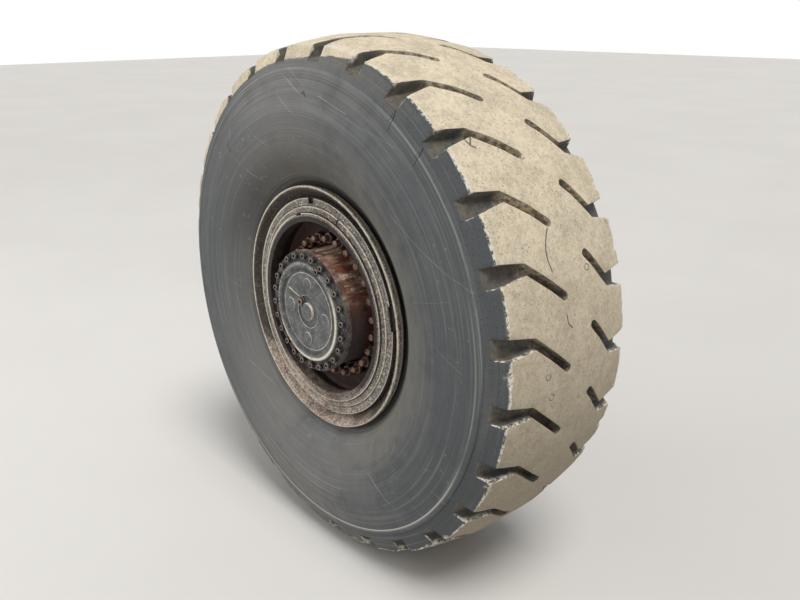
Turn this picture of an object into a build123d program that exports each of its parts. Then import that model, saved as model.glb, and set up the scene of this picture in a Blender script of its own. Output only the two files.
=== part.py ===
"""Heavy wheel end: lug tyre, five-piece rim, planetary hub and the axle spindle that carries them.

Millimetres. The origin is the middle of the spindle's mounting face, +Y runs inboard along the
wheel's axis, the open side of the wheel looks along -Y, and +Z is up. Sections are tables of
corners: how far outboard of a named plane each one lies, and its radius from the axis.
"""
import os
from math import atan2, cos, degrees, radians, sin, tan

from build123d import (Axis, Box, Compound, Cylinder, Location, Part, Plane, Polyline, Pos,
                       RegularPolygon, Rot, export_step, extrude, make_face, revolve)

# Where the wheel stands on its axle
WHEEL_PLANE = 260.5         # mounting face to the middle plane of tyre and rim

# Tyre for the 25-inch rim, in flat sides so that all its grooves stay light
TYRE_RADIUS = 804.0         # axis to the crown of the tread
CROWN_FLAT = 170.0          # width of the level middle of the tread
TREAD_WIDTH = 451.0         # between the two shoulder edges
SHOULDER_RADIUS = 781.5
SECTION_WIDTH = 563.0       # between the two sidewalls at their widest
BULGE_RADIUS = 585.0        # axis to the widest place of the sidewall
LOWER_INSET = 16.0          # lower sidewall, inside the widest place
LOWER_DROP = 102.0          # lower sidewall, under the widest place
CHAFER_REACH = 22.0         # sidewall over the flange's lip, outboard of the foot
CHAFER_RISE = 14.0          # sidewall over the flange's lip, above it
RIB_RADIUS = 715.0          # outer edge of the rib under the lugs
RIB_HEIGHT = 28.0           # radial height of that rib
RIB_STEP = 5.0              # how far the rib stands out of the sidewall
RIB_INSET = 21.0            # the rib's outer edge, inside the widest place
CASING = 28.0               # rubber and cord in the sidewall
CROWN_WALL = 92.0           # rubber and cord under the crown
HOLLOW_ROOF = 290.0         # width of the hollow under the crown
BEAD_WIDTH = 85.0           # of the tyre's foot on the rim

# Tread lugs, cut apart by one row of grooves from each shoulder
PITCHES = 27                # grooves in each row
SIDES_PER_PITCH = 2         # flat sides of the casing to each groove
EDGE_OFFSET = 3.1           # degrees from a kink down to an edge between two sides, clear of the mouths
FIRST_GROOVE = 7.35         # degrees, the kink of the first outboard groove above +X
ROW_STAGGER = 6.2           # degrees from an outboard kink down to the inboard one
MOUTH_WIDTH = 56.0          # groove from the shoulder edge outwards
SLOT_WIDTH = 22.0           # narrow run towards the middle
KINK_INSET = 78.0           # shoulder edge to the bend
OUTER_SLOT = 119.0          # bend to the blind end, across the tread, outboard row
INNER_SLOT = 86.0           # the same in the inboard row
OUTER_LEAN = 39.0           # degrees between the narrow run and the wheel's axis, outboard row
INNER_LEAN = 47.0           # the same in the inboard row
GROOVE_DEPTH = 42.0         # narrow run, under the crown
MOUTH_DEPTH = 39.0          # under the shoulder edge
SLOT_CORNER = 6.4           # cut corners of the blind end
CUT_PAST = 24.0             # how far the cutters reach out of the rubber

# Rim, 25 inches, with loose side flanges, bead seat band and lock ring
SEAT_RADIUS = 317.5         # bead seat at the flange
SEAT_FALL = 7.4             # fall of the seat across the tyre's foot
FLANGE_SPAN = 381.0         # between the two side flanges
FLANGE_HEIGHT = 63.5        # bead seat to the rolled lip
FLANGE_WALL = 14.0
FLANGE_REACH = 49.0         # tyre side of a flange to the crest of its lip
FLANGE_RISE = 36.0          # lip down to the upright part of the flange
FLANGE_KNEE = 12.0          # bend between the upright part and the lip
LIP_EDGE = 6.0              # rounding of the lip's free edge
LIP_SAG = 9.0               # fall of the lip's open side towards the upright part
CHAFER_PLAY = 6.0           # tyre over the flange's bend
BAND_UPSTAND = 23.5         # lip of the bead seat band that holds the flange, above the seat
BAND_LIP_WIDTH = 20.0
BAND_WIDTH = 131.0          # whole bead seat band
BAND_TAPER = 12.0           # slope from its bore to the lock ring
BASE_DROP = 17.5            # bead seat down to the outside of the rim base
BASE_WALL = 16.0
BASE_SLOPE = 10.0           # end of the fixed bead seat
BACK_LIP_WIDTH = 20.0       # inboard stop of the rim base
GUTTER_LIP_DROP = 3.0       # outside of the rim base down to its outboard edge
GUTTER_LIP_WALL = 27.0
GUTTER_LIP_WIDTH = 18.0
GUTTER_DEPTH = 12.0         # groove for the lock ring, under the outside of the rim base
GUTTER_WIDTH = 20.0
GUTTER_STANDOFF = 10.7      # open face of the band to the outboard face of the rim base
GUTTER_BLOCK = 40.0         # thick outboard end of the rim base
GUTTER_SLOPE = 14.0
LOCK_RING_HEIGHT = 29.0     # from the groove's floor
LOCK_RING_INSET = 6.0       # outboard face of the rim base to the ring's open face
LOCK_RING_EDGE = 5.0
LOCK_RING_GAP = 8.0         # between its two ends
LOCK_RING_SPLIT = 70.6      # degrees above +X
NOTCH_WIDTH = 27.0          # pocket for the driver key
NOTCH_REACH = 10.0          # how deep pockets go into the band's open face
BAND_NOTCH = 95.5           # degrees above +X
BAND_NOTCH_DEPTH = 17.5
BASE_NOTCH = 107.0          # degrees above +X
BASE_NOTCH_DEPTH = 6.0
PRY_POCKET = 9.5            # degrees above +X, middle of the pocket for the tyre lever
PRY_POCKET_LENGTH = 74.0
PRY_POCKET_DEPTH = 9.0
RIM_PLAY = 0.3              # between pieces of the rim, and between rim and tyre

# Wheel disc and its studs
DISC_FACE = 155.5           # middle plane to the outboard face of the disc
DISC_THICKNESS = 20.0
DISC_PLAY = 1.5             # carrier's flange to the disc's bore, so that the wheel lifts off over it
STUD_COUNT = 24
STUD_CIRCLE = 425.0         # diameter
STUD_RADIUS = 11.0
STUD_SIDES = 8              # flat sides of a stud's end
STUD_REACH = 46.0           # disc face to the studs' ends
FIRST_STUD = 123.25         # degrees above +X
NUT_WIDTH = 32.0            # across flats
NUT_HEIGHT = 27.0

# Planetary hub
HUB_FLANGE_EDGE = 27.5      # studs' middle to the edge of the hub's flange
HUB_FLANGE_WIDTH = 26.0
HUB_WALL = 37.0             # barrel round the inner bearing
HUB_BARREL_WIDTH = 124.0    # behind the flange
CARRIER_GAP = 23.5          # studs' middle to the flange at the drum's open end
CARRIER_STEP = 5.0          # how far that flange stands out of the drum
CARRIER_WIDTH = 22.0
CARRIER_FACE = 114.0        # disc face to the outboard face of that flange
CARRIER_EDGE = 14.6         # edge of that flange to the screws' middle
SCREW_COUNT = 24
SCREW_HEAD_RADIUS = 9.0
SCREW_HEAD_HEIGHT = 12.0
SCREW_SIDES = 12            # flat sides of a screw's head
FIRST_SCREW = 167.95        # degrees above +X
COVER_GAP = 8.4             # screw heads to the cover's edge
COVER_EDGE = 3.0
COVER_CREST = 12.0          # rolled edge above the carrier's face
CREST_INSET = 8.0           # cover's edge to the crest
CREST_WIDTH = 27.5          # crest to the dished middle
COVER_DISH = 5.0            # dished middle above the carrier's face
WELL_RADIUS = 51.0          # round well in the middle
WELL_SLOPE = 2.0
WELL_DEPTH = 4.0
NOSE_RADIUS = 27.0          # boss in the well
NOSE_HEIGHT = 8.0
BOSS_COUNT = 4              # over the planet wheels' pins
BOSS_INSET = 33.5           # edge of the dished middle to the bosses' middle
BOSS_RADIUS = 20.5
BOSS_HEIGHT = 3.0
FIRST_BOSS = -3.0           # degrees above +X
PLUG_GAP = 1.4              # nose to the filler plug
PLUG_ANGLE = 141.8          # degrees above +X
PLUG_RADIUS = 12.0
PLUG_HEIGHT = 7.0
SOCKET_WIDTH = 10.0         # hexagon across flats
SOCKET_DEPTH = 3.5
PLUG_PAD = 4.0              # pad round the plug
PAD_HEIGHT = 1.0            # pad above the dished middle
JACK_INSET = 5.0            # cover's edge to the single inner screw
JACK_ANGLE = 67.6           # degrees above +X
JACK_PLAY = 4.0             # round that screw's head
MARK_OUTER = (113.0, 149.9)  # level mark: radius and degrees of its outer end
MARK_INNER = (60.0, 136.7)
MARK_WIDTH = 4.4
MARK_HEIGHT = 2.0

# Axle spindle, bearings and brake
MOUNT_HOLE_COUNT = 16
MOUNT_HOLE_CIRCLE = 360.0   # diameter
MOUNT_HOLE_RADIUS = 13.0
MOUNT_EDGE = 25.0           # holes' middle to the edge of the mounting flange
MOUNT_WIDTH = 36.0
SPIGOT_BORE = 110.0         # recess that centres the axle housing
SPIGOT_DEPTH = 8.0
NECK_RADIUS = 140.0
NECK_TAPER = 30.0           # where the neck starts to narrow, inside the brake housing
SHAFT_BORE = 46.0           # for the drive shaft
SPINDLE_INNER_RADIUS = 95.0
SPINDLE_OUTER_RADIUS = 78.0
BEARING_WIDTH = 46.0
INNER_BEARING_HEIGHT = 40.0
OUTER_BEARING_HEIGHT = 37.0
BEARING_PLAY = 0.05
BEARING_INSET = 22.0        # hub's inboard end to the inner bearing
BEARING_SPAN = 58.0         # between the two bearings
SPINDLE_NOSE = 20.0         # spindle beyond the outer bearing
GEAR_SPACE = 12.0           # free space round the spindle's nose and the outer bearing
BRAKE_RADIUS = 222.0
BRAKE_BACK_RADIUS = 196.0
BRAKE_STANDOFF = 29.0       # mounting flange to the brake housing
BRAKE_SHOULDER = 40.0       # slope to the smaller inboard face
BRAKE_JOINT_RADIUS = 232.0  # flange where the housing is bolted together
BRAKE_JOINT_WIDTH = 26.0
BRAKE_JOINT_INSET = 30.0    # open face of the housing to that flange
HUB_GAP = 5.0               # turning hub to fixed brake housing
PORT_RADIUS = 15.0
PORT_REACH = 24.0
PORT_ANGLES = (62.0, 118.0)  # degrees above +X

# Air valve
VALVE_RADIUS = 6.0
VALVE_LENGTH = 34.0
VALVE_HEIGHT = 30.0         # how far the foot stands off the barrel
VALVE_BEND = 8.0            # foot's end to the middle of the stem
VALVE_FOOT_RADIUS = 9.0
VALVE_INSET = 13.0          # disc face to the middle of the valve's foot
VALVE_PLACE = 7.5           # pitches of the studs after the first one

# Radii that follow from the bead seat
lip_radius = SEAT_RADIUS + FLANGE_HEIGHT
band_lip_radius = SEAT_RADIUS + BAND_UPSTAND
base_radius = SEAT_RADIUS - BASE_DROP
base_bore = base_radius - BASE_WALL
gutter_radius = base_radius - GUTTER_DEPTH
gutter_lip_radius = base_radius - GUTTER_LIP_DROP
gutter_lip_bore = gutter_lip_radius - GUTTER_LIP_WALL
lock_ring_radius = gutter_radius + LOCK_RING_HEIGHT

# Faces of the rim's outboard end, from the middle plane
band_face = FLANGE_SPAN / 2 + FLANGE_WALL + RIM_PLAY + BAND_LIP_WIDTH
gutter_face = band_face + GUTTER_STANDOFF
gutter_out = gutter_face - GUTTER_LIP_WIDTH
gutter_in = gutter_out - GUTTER_WIDTH
lock_ring_face = gutter_face - LOCK_RING_INSET

# Radii that follow from the stud circle
stud_reach = STUD_CIRCLE / 2
carrier_radius = stud_reach - CARRIER_GAP
drum_radius = carrier_radius - CARRIER_STEP
screw_reach = carrier_radius - CARRIER_EDGE
cover_radius = screw_reach - SCREW_HEAD_RADIUS - COVER_GAP
crest_radius = cover_radius - CREST_INSET
dish_radius = crest_radius - CREST_WIDTH
plug_reach = NOSE_RADIUS + PLUG_GAP + PLUG_RADIUS
inner_bearing_radius = SPINDLE_INNER_RADIUS + INNER_BEARING_HEIGHT
outer_bearing_radius = SPINDLE_OUTER_RADIUS + OUTER_BEARING_HEIGHT

# Places along the axle, outboard of the mounting face
disc_plane = WHEEL_PLANE + DISC_FACE            # outboard face of the wheel disc
hub_front = disc_plane - DISC_THICKNESS         # inboard face of the wheel disc
hub_face = disc_plane + CARRIER_FACE            # outboard face of the hub's carrier
hub_end = hub_front - HUB_FLANGE_WIDTH - HUB_BARREL_WIDTH
inner_bearing_start = hub_end + BEARING_INSET
outer_bearing_start = inner_bearing_start + BEARING_WIDTH + BEARING_SPAN
spindle_end = outer_bearing_start + BEARING_WIDTH + SPINDLE_NOSE
brake_front = hub_end - HUB_GAP
brake_back = MOUNT_WIDTH + BRAKE_STANDOFF


def turned(corners, plane=0.0, side=1):
    """Solid of revolution; corners are (outboard of the plane, radius), side -1 mirrors inboard."""
    outline = [(radius, -(plane + side * reach)) for reach, radius in corners]
    return revolve(make_face(Polyline(*outline, close=True)), axis=Axis.Y)


def flat_sided(corners, plane, sides, first_edge):
    """Ring with flat sides: corners as in turned(), at the middle of a side; an edge's degrees above +X."""
    outline = [(radius, -(plane + reach)) for reach, radius in corners]
    far = 1.1 * max(radius for _, radius in corners)
    half_side = far * tan(radians(180 / sides))
    slab = extrude(make_face(Polyline(*outline, close=True)), half_side, both=True)
    wedge = make_face(Polyline((0, 0), (far, -half_side), (far, half_side), close=True))
    sector = slab & Rot(-90, 0, 0) * extrude(wedge, 2 * far, both=True)
    return Part() + [Rot(0, 360 / sides * (k + 0.5) - first_edge, 0) * sector for k in range(sides)]


def facing(reach, angle, outboard):
    """Place on a face that looks outboard: radius and degrees above +X, local z pointing outboard."""
    x, z = reach * cos(radians(angle)), reach * sin(radians(angle))
    return Location(Plane(origin=(x, -outboard, z), x_dir=(cos(radians(angle)), 0, sin(radians(angle))),
                          z_dir=(0, -1, 0)))


def drum(radius, height):
    """Round bar that starts on its local plane."""
    return Pos(0, 0, height / 2) * Cylinder(radius, height)


def tyre_corners():
    """Half of the tyre's section, from the crown round the sidewall and foot to the middle of its hollow."""
    half_tread, half_section = TREAD_WIDTH / 2, SECTION_WIDTH / 2
    foot = FLANGE_SPAN / 2 - RIM_PLAY
    rib = half_section - RIB_INSET
    outside = [
        (CROWN_FLAT / 2, TYRE_RADIUS),
        (half_tread, SHOULDER_RADIUS),
        (rib - RIB_STEP, RIB_RADIUS),
        (rib, RIB_RADIUS - RIB_STEP),
        (rib + RIB_STEP / 2, RIB_RADIUS - RIB_HEIGHT),
        (half_section, BULGE_RADIUS),
        (half_section - LOWER_INSET, BULGE_RADIUS - LOWER_DROP),
        (foot + CHAFER_REACH, lip_radius + CHAFER_RISE),
        (foot, lip_radius - FLANGE_RISE + CHAFER_PLAY),
        (foot, SEAT_RADIUS + RIM_PLAY),
        (foot - BEAD_WIDTH, SEAT_RADIUS - SEAT_FALL + RIM_PLAY),
    ]
    hollow = [
        (half_section - CASING, BULGE_RADIUS),
        (HOLLOW_ROOF / 2, TYRE_RADIUS - CROWN_WALL),
    ]
    return outside + hollow


def groove_cutter(slot_run, slot_lean):
    """Cutters for one groove at the top of the wheel: a flared, sloping mouth and a leaning blind slot."""
    edge, top = TREAD_WIDTH / 2, TYRE_RADIUS + CUT_PAST
    kink, end = edge - KINK_INSET, edge + CUT_PAST
    kink_floor, mouth_floor = TYRE_RADIUS - GROOVE_DEPTH, SHOULDER_RADIUS - MOUTH_DEPTH
    lean = radians(slot_lean)
    half_kink = SLOT_WIDTH / 2 / cos(lean)
    half_mouth = MOUTH_WIDTH / 2
    end_floor = kink_floor - (kink_floor - mouth_floor) * (end - kink) / KINK_INSET
    plan = Polyline((half_kink, -kink), (half_mouth, -edge), (half_mouth, -end), (-half_mouth, -end),
                    (-half_mouth, -edge), (-half_kink, -kink), close=True)
    side = Polyline((-kink, top), (-kink, kink_floor), (-end, end_floor), (-end, top), close=True)
    mouth = extrude(make_face(plan), top) & extrude(Plane.YZ * make_face(side), half_mouth, both=True)

    def along(reach, off):
        """Point of the slot's plan: along its middle line from the kink, and off to its side."""
        return reach * sin(lean) + off * cos(lean), reach * cos(lean) - off * sin(lean)

    tip, wall, cut = slot_run / cos(lean), SLOT_WIDTH / 2, SLOT_CORNER
    run = Polyline((half_kink, 0), along(tip - cut, wall), along(tip, wall - cut), along(tip, cut - wall),
                   along(tip - cut, -wall), (-half_kink, 0), close=True)
    slot = Pos(0, -kink, kink_floor) * extrude(make_face(run), top - kink_floor)
    return mouth, slot


def tyre():
    """Lug tyre: a hollow casing whose tread is cut by a row of grooves from each shoulder."""
    section = tyre_corners()
    mirrored = [(-reach, radius) for reach, radius in reversed(section)]
    sides = PITCHES * SIDES_PER_PITCH
    casing = flat_sided(section + mirrored, WHEEL_PLANE, sides, FIRST_GROOVE - EDGE_OFFSET)
    cutters = []
    rows = ((OUTER_SLOT, OUTER_LEAN, FIRST_GROOVE, 0),
            (INNER_SLOT, INNER_LEAN, FIRST_GROOVE - ROW_STAGGER, 180))
    for slot_run, slot_lean, first, row_turn in rows:
        for k in range(PITCHES):
            turn = Rot(0, 90 - first - 360 / PITCHES * k, 0) * Rot(0, 0, row_turn)
            cutters += [Pos(0, -WHEEL_PLANE, 0) * turn * piece
                        for piece in groove_cutter(slot_run, slot_lean)]
    return casing - cutters


def side_flange(side):
    """Side flange with a rolled lip; its foot sits on the bead seat, its lip looks away from the tyre."""
    foot = SEAT_RADIUS + RIM_PLAY
    upright = lip_radius - FLANGE_RISE
    inside = lip_radius - FLANGE_WALL
    corners = [
        (0, foot), (0, upright), (FLANGE_KNEE, lip_radius - FLANGE_KNEE),
        (FLANGE_REACH - LIP_EDGE, lip_radius), (FLANGE_REACH, lip_radius - LIP_EDGE),
        (FLANGE_REACH - LIP_EDGE, inside),
        (FLANGE_WALL + FLANGE_KNEE, inside - LIP_SAG), (FLANGE_WALL, band_lip_radius + RIM_PLAY),
        (FLANGE_WALL, foot),
    ]
    return turned(corners, WHEEL_PLANE + side * FLANGE_SPAN / 2, side)


def rim_base():
    """Barrel with the lock ring's gutter outboard, and the fixed bead seat and stop inboard."""
    seat = -FLANGE_SPAN / 2
    seat_end = seat + BEAD_WIDTH
    stop = seat - FLANGE_WALL - RIM_PLAY
    back = stop - BACK_LIP_WIDTH
    block = gutter_face - GUTTER_BLOCK
    corners = [
        (gutter_face, gutter_lip_bore), (gutter_face, gutter_lip_radius), (gutter_out, gutter_lip_radius),
        (gutter_out, gutter_radius), (gutter_in, gutter_radius), (gutter_in, base_radius),
        (seat_end + BASE_SLOPE, base_radius), (seat_end, SEAT_RADIUS - SEAT_FALL),
        (seat, SEAT_RADIUS), (stop, SEAT_RADIUS), (stop, band_lip_radius), (back, band_lip_radius),
        (back, base_bore), (block - GUTTER_SLOPE, base_bore), (block, gutter_lip_bore),
    ]
    notch = Box(NOTCH_WIDTH, 2 * GUTTER_LIP_WIDTH + GUTTER_WIDTH, 2 * BASE_NOTCH_DEPTH)
    placed = Rot(0, 90 - BASE_NOTCH, 0) * Pos(0, -(WHEEL_PLANE + gutter_face), gutter_lip_radius) * notch
    return turned(corners, WHEEL_PLANE) - placed


def bead_seat_band():
    """Loose tapered seat; its upstand holds the outboard flange and bears on the lock ring."""
    seat = FLANGE_SPAN / 2
    lip = band_face - BAND_LIP_WIDTH
    end = band_face - BAND_WIDTH
    under_ring = lock_ring_radius + RIM_PLAY
    bore = base_radius + RIM_PLAY
    corners = [
        (band_face, under_ring), (band_face, band_lip_radius), (lip, band_lip_radius), (lip, SEAT_RADIUS),
        (seat, SEAT_RADIUS), (end, SEAT_RADIUS - SEAT_FALL * (seat - end) / BEAD_WIDTH), (end, bore),
        (gutter_in - BAND_TAPER, bore), (gutter_in, under_ring),
    ]
    at_face = Pos(0, -(WHEEL_PLANE + band_face), band_lip_radius)
    notch = Box(NOTCH_WIDTH, 2 * NOTCH_REACH, 2 * BAND_NOTCH_DEPTH)
    pocket = Box(PRY_POCKET_LENGTH, 2 * NOTCH_REACH, 2 * PRY_POCKET_DEPTH)
    return turned(corners, WHEEL_PLANE) - [Rot(0, 90 - BAND_NOTCH, 0) * at_face * notch,
                                           Rot(0, 90 - PRY_POCKET, 0) * at_face * pocket]


def lock_ring():
    """Split ring: a foot in the gutter and a shoulder that the bead seat band bears on."""
    out, inside = gutter_out - RIM_PLAY, gutter_in + RIM_PLAY
    foot, heel = gutter_radius + RIM_PLAY, gutter_lip_radius + RIM_PLAY
    corners = [
        (out, foot), (out, heel), (lock_ring_face, heel), (lock_ring_face, lock_ring_radius - LOCK_RING_EDGE),
        (lock_ring_face - LOCK_RING_EDGE, lock_ring_radius), (inside, lock_ring_radius), (inside, foot),
    ]
    split = Box(LOCK_RING_GAP, 2 * (GUTTER_LIP_WIDTH + GUTTER_WIDTH), 2 * LOCK_RING_HEIGHT)
    split = Pos(0, -(WHEEL_PLANE + lock_ring_face), lock_ring_radius) * split
    return turned(corners, WHEEL_PLANE) - Rot(0, 90 - LOCK_RING_SPLIT, 0) * split


def wheel_disc():
    """Flat disc welded into the barrel and bored over the hub's drum."""
    bore = carrier_radius + DISC_PLAY
    corners = [(0, bore), (0, base_bore), (-DISC_THICKNESS, base_bore), (-DISC_THICKNESS, bore)]
    return turned(corners, disc_plane)


def wheel_nuts():
    """Hexagon nuts on the disc with the ends of the hub's studs in them, one solid each."""
    nut = extrude(RegularPolygon(NUT_WIDTH / 2, 6, major_radius=False), NUT_HEIGHT)
    one = nut + extrude(RegularPolygon(STUD_RADIUS, STUD_SIDES), STUD_REACH)
    return Compound([facing(stud_reach, FIRST_STUD - 360 / STUD_COUNT * k, disc_plane) * one
                     for k in range(STUD_COUNT)])


def hub():
    """Turning hub: stud flange behind the disc, bearing barrel inboard, bored for both bearings."""
    flange_radius = stud_reach + HUB_FLANGE_EDGE
    barrel_radius = inner_bearing_radius + HUB_WALL
    back = hub_front - HUB_FLANGE_WIDTH
    inner_seat = inner_bearing_start + BEARING_WIDTH
    inner_bore, outer_bore = inner_bearing_radius + BEARING_PLAY, outer_bearing_radius + BEARING_PLAY
    corners = [
        (hub_front, outer_bore), (hub_front, flange_radius), (back, flange_radius), (back, barrel_radius),
        (hub_end, barrel_radius), (hub_end, inner_bore), (inner_seat, inner_bore), (inner_seat, outer_bore),
    ]
    return turned(corners)


def hub_drum():
    """Planetary gear housing through the disc's bore, with its carrier flange; hollow round the nose."""
    flange = hub_face - CARRIER_WIDTH
    space, space_radius = spindle_end + GEAR_SPACE, outer_bearing_radius + GEAR_SPACE
    corners = [
        (hub_front, space_radius), (hub_front, drum_radius), (flange, drum_radius), (flange, carrier_radius),
        (hub_face, carrier_radius), (hub_face, 0), (space, 0), (space, space_radius),
    ]
    return turned(corners)


def hub_cover():
    """Cast cover: rolled edge, dished middle with a well and nose, four bosses, plug pad and level mark."""
    dish, well = COVER_DISH, COVER_DISH - WELL_DEPTH
    corners = [
        (0, cover_radius), (COVER_CREST - COVER_EDGE, cover_radius - COVER_EDGE), (COVER_CREST, crest_radius),
        (dish, dish_radius), (dish, WELL_RADIUS), (well, WELL_RADIUS - WELL_SLOPE), (well, NOSE_RADIUS),
        (well + NOSE_HEIGHT, NOSE_RADIUS), (well + NOSE_HEIGHT, 0), (0, 0),
    ]
    raised = [facing(dish_radius - BOSS_INSET, FIRST_BOSS + 360 / BOSS_COUNT * k, hub_face)
              * drum(BOSS_RADIUS, dish + BOSS_HEIGHT) for k in range(BOSS_COUNT)]
    raised.append(facing(plug_reach, PLUG_ANGLE, hub_face) * drum(PLUG_RADIUS + PLUG_PAD, dish + PAD_HEIGHT))
    raised.append(level_mark(hub_face))
    pocket = facing(cover_radius - JACK_INSET, JACK_ANGLE, hub_face) * drum(SCREW_HEAD_RADIUS + JACK_PLAY,
                                                                            2 * COVER_CREST)
    return turned(corners, hub_face) + raised - pocket


def level_mark(outboard):
    """Plain raised line on the cover that shows the oil level."""
    ends = [(reach * cos(radians(angle)), reach * sin(radians(angle)))
            for reach, angle in (MARK_OUTER, MARK_INNER)]
    (x0, z0), (x1, z1) = ends
    length = ((x1 - x0) ** 2 + (z1 - z0) ** 2) ** 0.5
    slope = degrees(atan2(z1 - z0, x1 - x0))
    height = COVER_DISH + MARK_HEIGHT
    middle = Pos((x0 + x1) / 2, -(outboard + height / 2), (z0 + z1) / 2)
    return middle * Rot(0, -slope, 0) * Box(length, height, MARK_WIDTH)


def cover_screws():
    """Plain heads of the screws round the cover, and of the single screw inside their ring."""
    head = extrude(RegularPolygon(SCREW_HEAD_RADIUS, SCREW_SIDES), SCREW_HEAD_HEIGHT)
    places = [(screw_reach, FIRST_SCREW - 360 / SCREW_COUNT * k) for k in range(SCREW_COUNT)]
    places.append((cover_radius - JACK_INSET, JACK_ANGLE))
    return Compound([facing(reach, angle, hub_face) * head for reach, angle in places])


def oil_plug():
    """Screwed filler plug with a hexagon socket."""
    socket = extrude(RegularPolygon(SOCKET_WIDTH / 2, 6, major_radius=False), SOCKET_DEPTH)
    plug = drum(PLUG_RADIUS, PLUG_HEIGHT) - Pos(0, 0, PLUG_HEIGHT - SOCKET_DEPTH) * socket
    return facing(plug_reach, PLUG_ANGLE, hub_face + COVER_DISH + PAD_HEIGHT) * plug


def valve_stem():
    """Air valve: a foot on the barrel's inner wall and a bent stem that points outboard."""
    along = disc_plane + VALVE_INSET
    turn = Rot(0, 90 - FIRST_STUD + 360 / STUD_COUNT * VALVE_PLACE, 0)
    top = base_bore - RIM_PLAY
    foot = turn * Pos(0, -along, top - VALVE_HEIGHT / 2) * Cylinder(VALVE_FOOT_RADIUS, VALVE_HEIGHT)
    stem = Rot(90, 0, 0) * Cylinder(VALVE_RADIUS, VALVE_LENGTH)
    return foot + turn * Pos(0, -(along + VALVE_LENGTH / 2), top - VALVE_HEIGHT + VALVE_BEND) * stem


def axle_spindle():
    """Forged spindle: bolted flange, neck and the two bearing journals, bored for the drive shaft."""
    mount_radius = MOUNT_HOLE_CIRCLE / 2 + MOUNT_EDGE
    corners = [
        (0, SPIGOT_BORE), (0, mount_radius), (MOUNT_WIDTH, mount_radius), (MOUNT_WIDTH, NECK_RADIUS),
        (brake_front - NECK_TAPER, NECK_RADIUS), (inner_bearing_start, SPINDLE_INNER_RADIUS),
        (inner_bearing_start + BEARING_WIDTH, SPINDLE_INNER_RADIUS),
        (outer_bearing_start, SPINDLE_OUTER_RADIUS),
        (spindle_end, SPINDLE_OUTER_RADIUS), (spindle_end, SHAFT_BORE), (SPIGOT_DEPTH, SHAFT_BORE),
        (SPIGOT_DEPTH, SPIGOT_BORE),
    ]
    hole = drum(MOUNT_HOLE_RADIUS, MOUNT_WIDTH)
    return turned(corners) - [facing(MOUNT_HOLE_CIRCLE / 2, 360 / MOUNT_HOLE_COUNT * (k + 0.5), 0) * hole
                              for k in range(MOUNT_HOLE_COUNT)]


def bearing(start, journal, radius):
    """Roller bearing as one ring on its journal, running in the hub's bore."""
    return turned([(0, journal), (0, radius), (BEARING_WIDTH, radius), (BEARING_WIDTH, journal)], start)


def brake_housing():
    """Closed wet-brake housing round the spindle's neck, with the flange where it is bolted together."""
    bore = NECK_RADIUS + RIM_PLAY
    joint_front = brake_front - BRAKE_JOINT_INSET
    joint_back = joint_front - BRAKE_JOINT_WIDTH
    corners = [
        (brake_front, bore), (brake_front, BRAKE_RADIUS), (joint_front, BRAKE_RADIUS),
        (joint_front, BRAKE_JOINT_RADIUS), (joint_back, BRAKE_JOINT_RADIUS), (joint_back, BRAKE_RADIUS),
        (brake_back + BRAKE_SHOULDER, BRAKE_RADIUS), (brake_back, BRAKE_BACK_RADIUS), (brake_back, bore),
    ]
    return turned(corners)


def brake_ports():
    """Two screwed hose unions on the brake housing's inboard face."""
    reach = (BRAKE_BACK_RADIUS + NECK_RADIUS) / 2
    one = Pos(0, 0, -PORT_REACH) * drum(PORT_RADIUS, PORT_REACH)
    return Compound([facing(reach, angle, brake_back) * one for angle in PORT_ANGLES])


PIECES = {
    "tyre": tyre,
    "outer_side_flange": lambda: side_flange(1),
    "inner_side_flange": lambda: side_flange(-1),
    "rim_base": rim_base,
    "bead_seat_band": bead_seat_band,
    "lock_ring": lock_ring,
    "wheel_disc": wheel_disc,
    "wheel_nuts": wheel_nuts,
    "valve_stem": valve_stem,
    "hub": hub,
    "hub_drum": hub_drum,
    "hub_cover": hub_cover,
    "cover_screws": cover_screws,
    "oil_plug": oil_plug,
    "axle_spindle": axle_spindle,
    "inner_bearing": lambda: bearing(inner_bearing_start, SPINDLE_INNER_RADIUS, inner_bearing_radius),
    "outer_bearing": lambda: bearing(outer_bearing_start, SPINDLE_OUTER_RADIUS, outer_bearing_radius),
    "brake_housing": brake_housing,
    "brake_ports": brake_ports,
}


def main():
    """Builds every piece and writes one STEP file for each."""
    os.makedirs("parts", exist_ok=True)
    for name, build in PIECES.items():
        export_step(build(), f"parts/{name}.step")


if __name__ == "__main__":
    main()
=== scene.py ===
from math import cos, pi, radians, sin, tan

import bmesh
import bpy
import numpy as np
from mathutils import Matrix, Vector


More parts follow.
